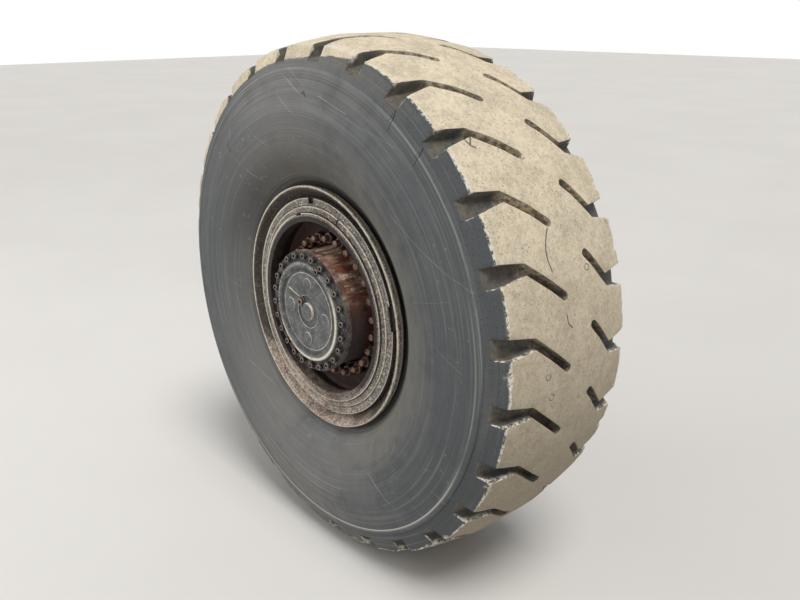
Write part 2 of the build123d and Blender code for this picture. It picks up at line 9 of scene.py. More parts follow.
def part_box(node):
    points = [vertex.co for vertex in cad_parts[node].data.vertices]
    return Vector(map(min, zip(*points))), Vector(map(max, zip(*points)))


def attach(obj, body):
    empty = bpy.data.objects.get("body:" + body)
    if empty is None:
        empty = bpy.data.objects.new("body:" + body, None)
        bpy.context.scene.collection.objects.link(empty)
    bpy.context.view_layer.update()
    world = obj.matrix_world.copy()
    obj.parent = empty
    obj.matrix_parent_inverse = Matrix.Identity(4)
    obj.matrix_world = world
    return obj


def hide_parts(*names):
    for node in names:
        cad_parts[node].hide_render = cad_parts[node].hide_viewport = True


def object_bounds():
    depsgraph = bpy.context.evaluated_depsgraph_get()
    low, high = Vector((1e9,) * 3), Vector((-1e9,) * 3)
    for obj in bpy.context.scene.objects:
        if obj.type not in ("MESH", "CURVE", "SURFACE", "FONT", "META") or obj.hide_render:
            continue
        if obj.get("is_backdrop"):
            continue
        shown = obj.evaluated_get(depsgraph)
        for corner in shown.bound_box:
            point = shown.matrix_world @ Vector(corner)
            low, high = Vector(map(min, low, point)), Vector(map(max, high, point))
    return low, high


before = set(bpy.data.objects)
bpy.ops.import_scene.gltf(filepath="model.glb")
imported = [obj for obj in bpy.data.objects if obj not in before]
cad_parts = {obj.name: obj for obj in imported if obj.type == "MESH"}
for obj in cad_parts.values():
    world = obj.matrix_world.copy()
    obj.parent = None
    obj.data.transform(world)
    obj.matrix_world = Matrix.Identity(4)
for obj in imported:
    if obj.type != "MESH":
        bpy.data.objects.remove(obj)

bl_info = {
    "name": "Heavy wheel end",
    "version": (1, 0, 0),
    "blender": (4, 5, 0),
    "location": "3D View > Sidebar > Wheel end",
    "description": "Dresses the packed wheel end: lug tyre, five-piece rim, planetary hub and axle",
    "category": "Object",
}

# Shapes are in millimetres and degrees, finishes in metres. A section is a table of corners (reach, radius,
# fillet). Reach is measured outboard from the wheel's middle plane, and an angle runs from +X towards +Z.
# The wheel's open side looks along -Y.
TYRE_LOW, TYRE_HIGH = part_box("tyre")
WHEEL_PLANE = -500.0 * (TYRE_LOW[1] + TYRE_HIGH[1])
HUB_FACE = 530.0 - WHEEL_PLANE
DISC_FACE = 416.0 - WHEEL_PLANE
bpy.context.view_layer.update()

# Places on the wheel's side are (radius, angle).
STUDS, STUD_RADIUS, FIRST_STUD = 24, 212.5, 123.25
SCREWS, SCREW_RADIUS, FIRST_SCREW = 24, 174.4, 167.95
ODD_SCREW, OIL_PLUG = (152.0, 67.6), (40.4, 141.8)
BOSSES = [(88, -3 + 90 * k) for k in range(4)]
LEVEL_MARK = ((113, 149.9), (60, 136.7))


# Sizes and colours a user may change

def length(name, description, default):
    """A length in millimetres that shows in the sidebar."""
    return bpy.props.FloatProperty(name=name, description=description, default=default, min=0.0)


def paint(name, description, red, green, blue):
    """A colour that shows in the sidebar; red, green and blue are 0 to 255, as a screen shows them."""
    linear = [((c / 255 + 0.055) / 1.055) ** 2.4 if c > 10 else c / 255 / 12.92 for c in (red, green, blue)]
    return bpy.props.FloatVectorProperty(name=name, description=description, subtype="COLOR", size=3,
                                         min=0.0, max=1.0, default=linear)


class WheelSizes(bpy.types.PropertyGroup):
    """Sizes that a user would change."""
    pitches: bpy.props.IntProperty(name="Lugs", description="Lugs on each shoulder", default=27, min=3)
    crown: length("Crown radius", "Axis to the top of the tread, mm", 804.0)
    shoulder: length("Shoulder radius", "Axis to the shoulder edge, mm", 781.5)
    slot_width: length("Slot width", "Narrow run of each tread groove, mm", 22.0)
    slot_depth: length("Slot depth", "Narrow run, under the crown, mm", 42.0)
    mouth_width: length("Mouth width", "Tread groove at the shoulder edge, mm", 56.0)
    chip_size: length("Chip size", "Deepest chip on the lugs' edges, mm", 5.0)
    ridge: length("Sidewall ridge", "Height of the fine rings on the sidewall, mm", 0.7)


class WheelColours(bpy.types.PropertyGroup):
    """Colours that a user would change."""
    dust: paint("Tread dust", "Dry earth on the lugs", 226, 213, 188)
    mud: paint("Groove dust", "Dust in the grooves", 134, 124, 108)
    tread: paint("Tread rubber", "Bare rubber in the mouths", 84, 82, 79)
    # Also serves as the painted highlight under the sidewall's moulded line.
    frayed: paint("Frayed rubber", "Torn lug edges", 222, 216, 203)
    sidewall: paint("Sidewall rubber", "Weathered rubber", 113, 113, 112)
    sidewall_dark: paint("Dark sidewall", "Side towards the lugs", 78, 82, 85)
    sidewall_dust: paint("Sidewall dust", "Brown-grey dust near the rim", 122, 119, 110)
    # Also serves as painted highlight on the sidewall's rib edge, fine ridges and moulded line.
    scratch: paint("Scratches", "Pale scratches and rubbed rings", 168, 167, 162)
    steel: paint("Weathered steel", "Rim steel under its dirt", 126, 119, 111)
    blued: paint("Blue-grey steel", "Rubbed face of the band", 108, 113, 116)
    # Also serves as painted shade in the flange's hollow, on the lip's back, on the sidewall near the rim on
    # top and in the grooves lower down the wheel.
    recess: paint("Dirty recess", "Dirt in the flange's hollow side", 56, 52, 49)
    # Also serves as painted highlight on the flange's crest and the cover's rolled edge.
    bright: paint("Worn steel", "Rubbed edges", 236, 226, 208)
    pale_rust: paint("Pale rust", "Pinkish bloom on low steel", 212, 188, 170)
    rust: paint("Rust", "Red-brown rust", 138, 78, 56)
    dark_rust: paint("Dark rust", "Old rust and oily dirt", 62, 47, 41)
    maroon: paint("Disc paint", "Dark red paint of the disc", 66, 40, 37)
    tips: paint("Stud tips", "Rubbed ends of the studs", 156, 124, 106)
    # Also serves as painted shade and shadow: the rib's lower edge, the moulded line on top, the gap beside
    # the lip, the notches, the barrel and the drum's screw ring.
    cover: paint("Cover", "Oily grey casting", 98, 100, 102)
    oil: paint("Oil", "Oily black dirt", 27, 26, 27)
    floor: paint("Floor", "Pale studio floor", 212, 211, 209)


def sizes():
    """The sizes now set in the sidebar."""
    return bpy.context.scene.wheel_sizes


# Surfaces

def polar(radius, angle):
    """x = r cos a, z = r sin a."""
    return radius * cos(radians(angle)), radius * sin(radians(angle))


def circle(columns):
    """Angles of a full turn in equal steps, in radians."""
    return np.linspace(0, 2 * pi, columns, endpoint=False)


def turn_between(angles, middle):
    """Angles in radians from a middle angle, wrapped to lie within half a turn of it."""
    return np.angle(np.exp(1j * (angles - middle)))


def smooth_step(t):
    """t^2 (3 - 2 t)."""
    return t * t * (3 - 2 * t)


def ring_points(reach, radius, angle):
    """x = r cos a, y = -(plane + reach), z = r sin a, for arrays of reach, radius and angle in radians."""
    reach, radius, angle = np.broadcast_arrays(reach, radius, angle)
    return np.stack([radius * np.cos(angle), -(WHEEL_PLANE + reach), radius * np.sin(angle)], -1)


def rounded(corners, steps=4):
    """Section whose corners become arcs: B(t) = (1-t)^2 a + 2t(1-t) p + t^2 b, with a and b on the edges
    a fillet's length from the corner p, at most 0.48 of the edge."""
    table = np.array(corners, float)
    p, cut = table[:, :2], table[:, 2:]
    back, ahead = np.roll(p, 1, 0) - p, np.roll(p, -1, 0) - p
    back_len, ahead_len = (np.linalg.norm(v, axis=1, keepdims=True) for v in (back, ahead))
    a = p + back / back_len * np.minimum(cut, 0.48 * back_len)
    b = p + ahead / ahead_len * np.minimum(cut, 0.48 * ahead_len)
    t = np.linspace(0, 1, steps)[None, :, None]
    arcs = (1 - t) ** 2 * a[:, None] + 2 * t * (1 - t) * p[:, None] + t ** 2 * b[:, None]
    return arcs.reshape(-1, 2)


def smooth_line(points, steps):
    """Catmull-Rom line through points: q(t) = ((-t^3+2t^2-t) p0 + (3t^3-5t^2+2) p1 + (-3t^3+4t^2+t) p2
    + (t^3-t^2) p3) / 2 on each span."""
    p = np.array(points, float)
    p = np.concatenate([2 * p[:1] - p[1:2], p, 2 * p[-1:] - p[-2:-1]])
    t = np.linspace(0, 1, steps, endpoint=False)[None, :, None]
    p0, p1, p2, p3 = (p[k:len(p) - 3 + k, None] for k in range(4))
    line = ((-t**3 + 2 * t**2 - t) * p0 + (3 * t**3 - 5 * t**2 + 2) * p1
            + (-3 * t**3 + 4 * t**2 + t) * p2 + (t**3 - t**2) * p3) / 2
    return np.concatenate([line.reshape(-1, p.shape[-1]), p[-2:-1]])


def turned(section, angles):
    """Surface of revolution: the section (reach, radius) at every angle, in radians."""
    return ring_points(section[:, :1], section[:, 1:], angles[None, :])


def lathe(heights, radii, angles):
    """Local points: x = r cos a, y = r sin a, z = h, for rows of heights and radii."""
    radii = np.broadcast_to(radii, (len(heights), len(angles)))
    return np.stack([radii * np.cos(angles), radii * np.sin(angles),
                     np.broadcast_to(np.asarray(heights, float)[:, None], radii.shape)], -1)


def directions(angle):
    """Unit vectors at an angle in degrees: away from the axis, round it and outboard."""
    x, z = polar(1.0, angle)
    return np.array([x, 0, z]), np.array([-z, 0, x]), np.array([0, -1.0, 0])


def carried(points, origin, x, y, z):
    """Local points set down at an origin along three directions."""
    return origin + points[..., :1] * x + points[..., 1:2] * y + points[..., 2:] * z


def on_face(points, radius, angle, reach):
    """Local points (x radial, y tangential, z outboard) placed on the wheel's side."""
    out, side, up = directions(angle)
    return carried(points, out * radius + up * (WHEEL_PLANE + reach), out, side, up)


def grid_quads(rows, columns, closed_rows, closed_columns):
    """Corner numbers of the quads (i, j), (i+1, j), (i+1, j+1), (i, j+1) of a grid."""
    i = np.arange(rows if closed_rows else rows - 1)[:, None]
    j = np.arange(columns if closed_columns else columns - 1)[None, :]
    i2, j2 = (i + 1) % rows, (j + 1) % columns
    quads = [i * columns + j, i2 * columns + j, i2 * columns + j2, i * columns + j2]
    return np.stack(quads, -1).reshape(-1, 4)


# How a grid closes: along its rows, along its columns, and with a cap at both ends.
HOOP, SPUN = (True, True, False), (False, True, False)
BAR, SPLIT_HOOP = (False, True, True), (True, False, True)


def make_piece(name, node, grids, finish, marks=None, crease=32.0, body="wheel"):
    """Mesh object in place of a CAD node, from grids (points, how it closes); marks are named values, one
    for each point of the first grids."""
    points, faces, caps, start = [], [], [], 0
    for grid, (closed_rows, closed_columns, capped) in grids:
        rows, columns = grid.shape[:2]
        faces.append(grid_quads(rows, columns, closed_rows, closed_columns) + start)
        if capped:
            ends = np.arange(rows * columns).reshape(rows, columns) + start
            ends = ends.T if closed_rows else ends
            caps += [ends[0].tolist(), ends[-1].tolist()]
        points.append(grid.reshape(-1, 3))
        start += rows * columns
    points = np.concatenate(points) * 0.001
    mesh = bpy.data.meshes.new(name)
    mesh.from_pydata(points, [], np.concatenate(faces).tolist() + caps)
    for mark, values in (marks or {}).items():
        whole = np.zeros(len(points), np.float32)
        whole[:values.size] = values.reshape(-1)
        mesh.attributes.new(mark, "FLOAT", "POINT").data.foreach_set("value", whole)
    work = bmesh.new()
    work.from_mesh(mesh)
    bmesh.ops.remove_doubles(work, verts=work.verts, dist=2e-6)
    bmesh.ops.dissolve_degenerate(work, edges=work.edges, dist=2e-6)
    bmesh.ops.recalc_face_normals(work, faces=work.faces)
    work.to_mesh(mesh)
    work.free()
    mesh.shade_smooth()
    mesh.set_sharp_from_angle(angle=radians(crease))
    mesh.materials.append(finish)
    piece = bpy.data.objects.new(name, mesh)
    bpy.context.scene.collection.objects.link(piece)
    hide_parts(node)
    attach(piece, body)


def waves(a, b, seed, count, low, high):
    """Gentle noise, sum of sin(k1 a + k2 b + phase) over seeded wave numbers, about -1 to 1."""
    rng = np.random.default_rng(seed)
    turn, pitch, phase = (rng.uniform(*ends, count) for ends in ((0, 2 * pi), (low, high), (0, 2 * pi)))
    total = sum(np.sin(pitch[k] * (np.cos(turn[k]) * a + np.sin(turn[k]) * b) + phase[k])
                for k in range(count))
    return total / np.sqrt(count)


# Finishes

class Finish:
    """Node tree of one new material. A colour is a name in the sidebar or an output, and coats of colour
    are laid over each other in order. Values come from Object coordinates and the mesh's marks."""

    def __init__(self, name):
        self.material = bpy.data.materials.new(name)
        self.material.use_nodes = True
        self.tree = self.material.node_tree
        self.colour = None
        self.place = self.node("TexCoord").outputs["Object"]
        self.x, self.y, self.z = self.node("SeparateXYZ", self.place).outputs
        squares = self.add(self.times(self.x, self.x), self.times(self.z, self.z))
        self.radius = self.calc("POWER", squares, 0.5)
        self.reach = self.less(self.times(self.y, -1.0), WHEEL_PLANE * 0.001)
        self.arc = self.times(self.calc("ARCTAN2", self.z, self.x), RUN_RADIUS * 0.001)

    def node(self, kind, *values, **settings):
        """New node with its settings, and with its first inputs linked or set."""
        node = self.tree.nodes.new("ShaderNode" + kind)
        for key, value in settings.items():
            setattr(node, key, value)
        for socket, value in zip(node.inputs, values):
            self.put(socket, value)
        return node

    def put(self, socket, value):
        """Links an output, or sets a number, a named colour or a vector."""
        if isinstance(value, bpy.types.NodeSocket):
            self.tree.links.new(value, socket)
        elif isinstance(value, str):
            socket.default_value = (*getattr(bpy.context.scene.wheel_colours, value), 1.0)
        else:
            socket.default_value = value

    def calc(self, operation, *values):
        """Result of one operation on one to three numbers or outputs."""
        return self.node("Math", *values, operation=operation).outputs[0]

    def less(self, a, b):
        """a - b."""
        return self.calc("SUBTRACT", a, b)

    def add(self, first, *others):
        """Sum of all the values."""
        return self.calc("ADD", first, self.add(*others)) if others else first

    def times(self, first, *others):
        """Product of all the values."""
        for value in others:
            first = self.calc("MULTIPLY", first, value)
        return first

    def most(self, values):
        """The largest of the values."""
        total = values[0]
        for value in values[1:]:
            total = self.calc("MAXIMUM", total, value)
        return total

    def blend(self, *shares):
        """Sum of the values of (value, share), each times its share."""
        return self.add(*(self.times(value, share) for value, share in shares))

    def shaken(self, value, noise, amount):
        """value + amount (noise - 0.5)."""
        return self.add(value, self.times(self.less(noise, 0.5), amount))

    def ramp(self, value, low, high, to_low=0.0, to_high=1.0):
        """Smooth step from to_low at low to to_high at high."""
        step = self.node("MapRange", value, low, high, to_low, to_high, interpolation_type="SMOOTHSTEP")
        return step.outputs[0]

    def band(self, value, middle, width):
        """1 at the middle, falling to 0 at width from it."""
        return self.ramp(self.calc("ABSOLUTE", self.less(value, middle)), width, 0.0)

    def mark(self, name):
        """A value stored on the mesh's points."""
        return self.node("Attribute", attribute_name=name).outputs["Fac"]

    def clouds(self, vector, scale, detail, rough):
        """Noise texture over a vector."""
        node = self.node("TexNoise", vector)
        for key, value in (("Scale", scale), ("Detail", detail), ("Roughness", rough)):
            node.inputs[key].default_value = value
        return node

    def noise(self, scale, detail=4.0, rough=0.55, shift=(0, 0, 0)):
        """Noise that is alike in all directions."""
        shifted = self.node("Mapping", self.place, shift).outputs[0]
        return self.clouds(shifted, scale, detail, rough).outputs["Fac"]

    def drawn_out(self, a, b, c, detail=2.0, rough=0.5):
        """Noise over three values of their own, so that it can be long in one direction."""
        return self.clouds(self.node("CombineXYZ", a, b, c).outputs[0], 1.0, detail, rough).outputs["Fac"]

    def streaks(self, degrees, along, across, shift=0.0):
        """Noise drawn out across the wheel's side, in a direction from +X towards +Z."""
        c, s = polar(1.0, degrees)
        run = self.add(self.times(self.x, c * along), self.times(self.z, s * along))
        off = self.less(self.times(self.z, c * across), self.times(self.x, s * across))
        return self.drawn_out(self.add(run, shift), self.y, off)

    def rings(self, around, across, shift=0.0):
        """Noise drawn out round the wheel's axis."""
        c, s = (self.times(self.calc("DIVIDE", value, self.radius), around) for value in (self.x, self.z))
        return self.drawn_out(self.add(c, shift), s, self.times(self.radius, across))

    def cell_borders(self, scale, wobble):
        """Distance to the wobbly border of a field of cells."""
        bend = self.clouds(self.place, scale * 1.7, 2.0, 0.5).outputs["Color"]
        bent = self.node("VectorMath", bend, [wobble] * 3, self.place, operation="MULTIPLY_ADD").outputs[0]
        node = self.node("TexVoronoi", bent, feature="DISTANCE_TO_EDGE")
        node.inputs["Scale"].default_value = scale
        return node.outputs["Distance"]

    def stroke(self, p, q, start, end, width, wobble=0.004):
        """1 along a wobbly line between two places, given in mm in the plane of the values p and q."""
        (p0, q0), (p1, q1) = ((a * 0.001, b * 0.001) for a, b in (start, end))
        size = ((p1 - p0) ** 2 + (q1 - q0) ** 2) ** 0.5
        dp, dq = (p1 - p0) / size, (q1 - q0) / size
        right, up = self.less(p, p0), self.less(q, q0)
        along = self.add(self.times(right, dp), self.times(up, dq))
        off = self.less(self.times(up, dp), self.times(right, dq))
        off = self.shaken(off, self.noise(38, 3, 0.6), wobble)
        taper = (self.ramp(along, -0.004, 0.003), self.ramp(along, size + 0.004, size - 0.003))
        line = self.ramp(self.calc("ABSOLUTE", off), width * 0.001, 0.0)
        return self.times(line, self.calc("MINIMUM", *taper))

    def apart(self, p, q, spot):
        """Distance of the values p and q from a spot given in mm."""
        squares = (self.calc("POWER", self.less(a, b * 0.001), 2.0) for a, b in zip((p, q), spot))
        return self.calc("POWER", self.add(*squares), 0.5)

    def mix(self, factor, a, b):
        """Colour a where the factor is 0, b where it is 1."""
        node = self.node("Mix", data_type="RGBA")
        self.put(node.inputs["Factor"], factor)
        for socket, colour in zip([s for s in node.inputs if s.type == "RGBA"], (a, b)):
            self.put(socket, colour)
        return [s for s in node.outputs if s.type == "RGBA"][0]

    def coat(self, colour, *factors):
        """Lays a colour over those before it where the factors' product is above 0."""
        self.colour = self.mix(self.times(*factors), self.colour, colour)

    def done(self, roughness, height=None, depth=0.001, metallic=0.0, specular=0.5):
        """Sets the shader; depth is the bump's height."""
        inputs = self.tree.nodes["Principled BSDF"].inputs
        for key, value in (("Base Color", self.colour), ("Roughness", roughness), ("Metallic", metallic),
                           ("Specular IOR Level", specular)):
            self.put(inputs[key], value)
        if height is not None:
            bump = self.node("Bump")
            for key, value in (("Strength", 1.0), ("Distance", depth), ("Height", height)):
                self.put(bump.inputs[key], value)
            self.put(inputs["Normal"], bump.outputs[0])


def material(name, coats, *values, **options):
    """The material of that name; its coats are laid on when it is first asked for."""
    found = bpy.data.materials.get(name)
    if found:
        return found
    finish = Finish(name)
    coats(finish, *values, **options)
    return finish.material


# Wear on the tread as (arc, reach) and on the side as (x, z), in mm. Scratches and side cracks are (start,
# end, width), with the share of a scratch's colour last.
TREAD_CRACKS = [
    [(368.4, 44), (346.2, 61.5), (318.4, 73), (288.6, 73), (263, 66.5)],
    [(646, 176), (635, 168), (619, 163), (607, 152)], [(619, 163), (640, 150), (655, 138)],
    [(660, 172), (635, 168)], [(112, 20), (126, 34), (150, 38)],
]
TREAD_SCUFFS = [(250, -63.5), (5, 108), (-54, 92), (560, 30)]
SIDE_SCRATCHES = [
    ((395, 371), (599, 259), 0.9, 0.5), ((599, 259), (685, 225), 0.8, 0.45),
    ((567, 66), (658, 15), 0.8, 0.4), ((-245, 506), (-185, 482), 1.3, 0.5),
    ((-286, 534), (-248, 511), 1.0, 0.4), ((150, 614), (416, 539), 0.8, 0.3),
    ((92, 646), (216, 607), 1.6, 0.55), ((472, 154), (618, 193), 0.7, 0.3),
    ((399, -290), (384, -330), 1.6, 0.4), ((360, -300), (352, -334), 1.2, 0.3),
    ((262, -345), (268, -372), 1.6, 0.4), ((-40, 596), (60, 588), 0.9, 0.3),
]
SIDE_CRACKS = [((22, 655), (31, 640), 3.0), ((14, 650), (26, 648), 2.0), ((-410, 470), (-395, 440), 1.6)]
FLANK_CRACKS = [((384, 630), (382, 604), 3.0), ((382, 606), (375, 580), 2.2), ((378, 622), (372, 604), 1.6),
                ((488, 552), (482, 527), 3.0), ((482, 529), (471, 504), 2.2), ((480, 540), (473, 526), 1.6)]


def rubber_coats(f, cloud, blotch, speck):
    """Weathered rubber of sidewall and flank: grey, darker towards the lugs' side, with rings and specks, and
    a painted highlight on top and painted shade below on the rib's edge.
    """
    toward = f.shaken(f.x, blotch, 0.3)
    f.colour = f.mix(f.times(f.ramp(toward, -0.1, 0.5), 0.95), "sidewall", "sidewall_dark")
    f.coat("sidewall_dark", f.ramp(cloud, 0.42, 0.68), 0.4)
    f.coat("sidewall_dark", f.ramp(toward, -0.25, -0.65), 0.9)
    fine = f.rings(1.6, 190.0)
    f.coat("scratch", f.ramp(fine, 0.54, 0.72), 0.16)
    f.coat("recess", f.ramp(fine, 0.44, 0.28), 0.16)
    f.coat("sidewall_dust", f.ramp(f.rings(1.3, 42.0, 4.0), 0.5, 0.7), 0.25)
    f.coat("recess", f.ramp(blotch, 0.52, 0.7), 0.12)
    # Pale band on the rib's edge over the upper half: painted highlight.
    soft = f.band(f.add(f.radius, f.times(blotch, 0.003)), 0.7145, 0.0024)
    f.coat("scratch", soft, f.ramp(cloud, 0.4, 0.55), f.ramp(f.z, -0.1, 0.1), 0.4)
    # Dark line on the rib's edge over the lower part: painted shade.
    low = f.ramp(f.less(f.z, f.times(f.x, 0.3)), -0.2, -0.42)
    f.coat("oil", f.band(f.radius, 0.7155, 0.0022), low, 0.7)
    cracks = f.most([f.stroke(f.x, f.z, a, b, width, 0.008) for a, b, width in FLANK_CRACKS])
    f.coat("oil", cracks, f.ramp(f.reach, 0.1, 0.15))
    f.coat("scratch", f.ramp(speck, 0.6, 0.74), 0.3)


def tread_finish(f):
    """Dusty lug tops, dusty walls and floors of the grooves, dark flanks, pale torn edges and cracks, with
    painted shade in the grooves and on the dust lower down the wheel.
    """
    dust, edge, inside = f.mark("dust"), f.mark("edge"), f.mark("inside")
    cloud, patches = f.noise(3.2, 4, 0.5), f.noise(9)
    grain, speck = f.noise(60, 6, 0.65), f.noise(360, 3, 0.7)
    slot = f.ramp(f.calc("ABSOLUTE", f.reach), 0.165, 0.125)
    wall = f.mix(f.ramp(grain, 0.35, 0.65), "tread", f.mix(0.4, "tread", "mud"))
    wall = f.mix(slot, wall, f.mix(f.ramp(grain, 0.4, 0.6), "dust", "mud"))
    # Lower down the wheel the slots' walls take the dark recess colour: painted shade.
    painted_groove_shade = f.times(slot, f.ramp(f.z, 0.45, 0.1), f.ramp(patches, 0.35, 0.55, 0.85, 0.6))
    wall = f.mix(painted_groove_shade, wall, "recess")
    patchy = f.times(f.ramp(patches, 0.5, 0.62), f.ramp(slot, 0.0, 1.0, 0.7, 0.3))
    wall = f.mix(patchy, wall, "sidewall_dark")
    rubber_coats(f, cloud, f.noise(14, 5, 0.6), speck)
    f.coat(wall, inside)

    dusty = f.mix(f.times(f.ramp(f.blend((patches, 0.6), (grain, 0.4)), 0.4, 0.62), 0.3), "dust", "mud")
    for scale, detail, shift, low, high in ((30, 5, (4, 2, 6), 0.46, 0.6), (120, 4, (7, 2, 1), 0.48, 0.62)):
        dusty = f.mix(f.times(f.ramp(f.noise(scale, detail, 0.65, shift), low, high), 0.2), dusty, "mud")
    # The dust turns to the darker groove dust towards the bottom of the wheel: painted shade.
    dusty = f.mix(f.times(f.ramp(f.add(f.z, f.times(patches, 0.2)), 0.75, -0.45), 0.85), dusty, "mud")
    f.coat(dusty, f.ramp(f.shaken(dust, grain, 0.9), 0.4, 0.7))
    top = f.ramp(dust, 0.6, 0.9)
    f.coat("mud", top, f.ramp(f.noise(15, 6, 0.65, (3, 1, 2)), 0.6, 0.73), 0.4)
    f.coat("frayed", top, f.ramp(f.noise(170, 3, 0.6, (1, 5, 2)), 0.58, 0.66),
           f.ramp(f.z, 0.0, 0.5, 0.25, 0.75))

    dark = [f.stroke(f.arc, f.reach, start, end, 3.0, 0.009)
            for line in TREAD_CRACKS for start, end in zip(line, line[1:])]
    dark += [f.times(f.band(f.apart(f.arc, f.reach, spot), 0.008, 0.0018), f.ramp(grain, 0.4, 0.5), 0.8)
             for spot in TREAD_SCUFFS]
    dark.append(f.times(f.ramp(f.cell_borders(26, 0.04), 0.012, 0.0),
                        f.ramp(f.noise(5, 2, 0.5, (1, 3, 8)), 0.66, 0.72), top, 0.5))
    dark.append(f.times(f.ramp(f.noise(230, 3, 0.6, (6, 1, 2)), 0.61, 0.69), 0.45))
    dark = f.most(dark)
    f.coat(f.mix(0.5, "tread", "oil"), dark)
    f.coat("frayed", f.ramp(edge, 0.2, 0.75), f.ramp(f.noise(85, 5, 0.7, (2, 2, 5)), 0.43, 0.55))
    height = f.add(f.times(grain, 0.8), f.less(f.times(speck, 0.3), f.times(dark, 0.8)))
    f.done(f.ramp(dust, 0.1, 0.8, 0.72, 0.95), height, 0.003, specular=0.25)


def sidewall_finish(f):
    """Weathered rubber: grey, brown near the rim, painted shade near the rim on top, fine rings with a
    painted highlight towards the bottom, two moulded lines painted as shade on top and highlight below,
    scratches, cracks and a painted shadow beside the flange's lip.
    """
    cloud, blotch, speck = f.noise(3.2, 4, 0.5), f.noise(14, 5, 0.6), f.noise(360, 3, 0.7)
    rubber_coats(f, cloud, blotch, speck)
    near_rim = f.ramp(f.shaken(f.radius, blotch, 0.12), 0.58, 0.42)
    f.coat("sidewall_dust", near_rim, f.ramp(f.add(f.x, f.times(f.z, 0.5)), -0.2, 0.15, 0.1, 0.6))
    # Dark near the rim on the upper part, where the sidewall turns down towards the rim: painted shade.
    high = f.ramp(f.add(f.z, f.times(f.x, -0.3)), 0.1, 0.45)
    f.coat("recess", f.ramp(f.radius, 0.55, 0.43), high, 0.55)
    wave = f.calc("SINE", f.times(f.add(f.radius, f.times(blotch, 0.0012)), 2 * pi / 0.0236))
    arcs = f.times(f.ramp(wave, 0.955, 1.0), f.band(f.radius, 0.6, 0.095),
                   f.ramp(f.rings(1.5, 8.0, 2.0), 0.45, 0.6))
    # Pale lines on the fine ridges, stronger towards the bottom: painted highlight on their edges.
    below = f.ramp(f.less(f.z, f.times(f.x, 0.5)), -0.05, -0.25)
    f.coat("scratch", arcs, f.ramp(below, 0.0, 1.0, 0.25, 0.7))
    # The moulded line at r 698 is dark on top and pale below, with a pale line beside it: painted shade and
    # painted highlight on its edges.
    line = f.times(f.ramp(f.rings(2.0, 20.0, 9.0), 0.25, 0.42), 0.85,
                   f.ramp(f.add(f.x, f.z), 0.1, 0.55, 1.0, 0.25))
    f.coat(f.mix(below, "oil", "frayed"), f.band(f.radius, 0.698, 0.0026), line)
    f.coat("scratch", f.band(f.radius, 0.7015, 0.003), line, 0.6)
    strays = f.times(f.ramp(f.streaks(-27, 2.2, 90.0, 3.0), 0.68, 0.73),
                     f.ramp(f.noise(4, 2, 0.5, (5, 5, 5)), 0.5, 0.6))
    f.coat("scratch", strays, 0.3)
    outer = f.ramp(f.reach, 0.1, 0.15)
    for start, end, width, share in SIDE_SCRATCHES:
        f.coat("scratch", f.stroke(f.x, f.z, start, end, width, 0.006), outer, share * 1.3)
    cracks = f.most([f.stroke(f.x, f.z, a, b, width, 0.012) for a, b, width in SIDE_CRACKS])
    cracks = f.times(cracks, outer)
    f.coat("oil", cracks)
    f.coat("scratch", f.ramp(f.noise(42, 5, 0.7, (4, 4, 1)), 0.6, 0.7), f.ramp(cloud, 0.45, 0.6), 0.35)
    # Dark band on the tyre beside the flange's lip: painted shadow of the gap.
    f.coat("oil", f.ramp(f.radius, 0.397, 0.387), 0.7)
    height = f.blend((blotch, 0.8), (arcs, 0.5), (speck, 0.12))
    height = f.less(height, f.blend((strays, 0.3), (cracks, 2.0)))
    f.done(f.ramp(blotch, 0.3, 0.7, 0.58, 0.78), height, 0.0012, specular=0.35)


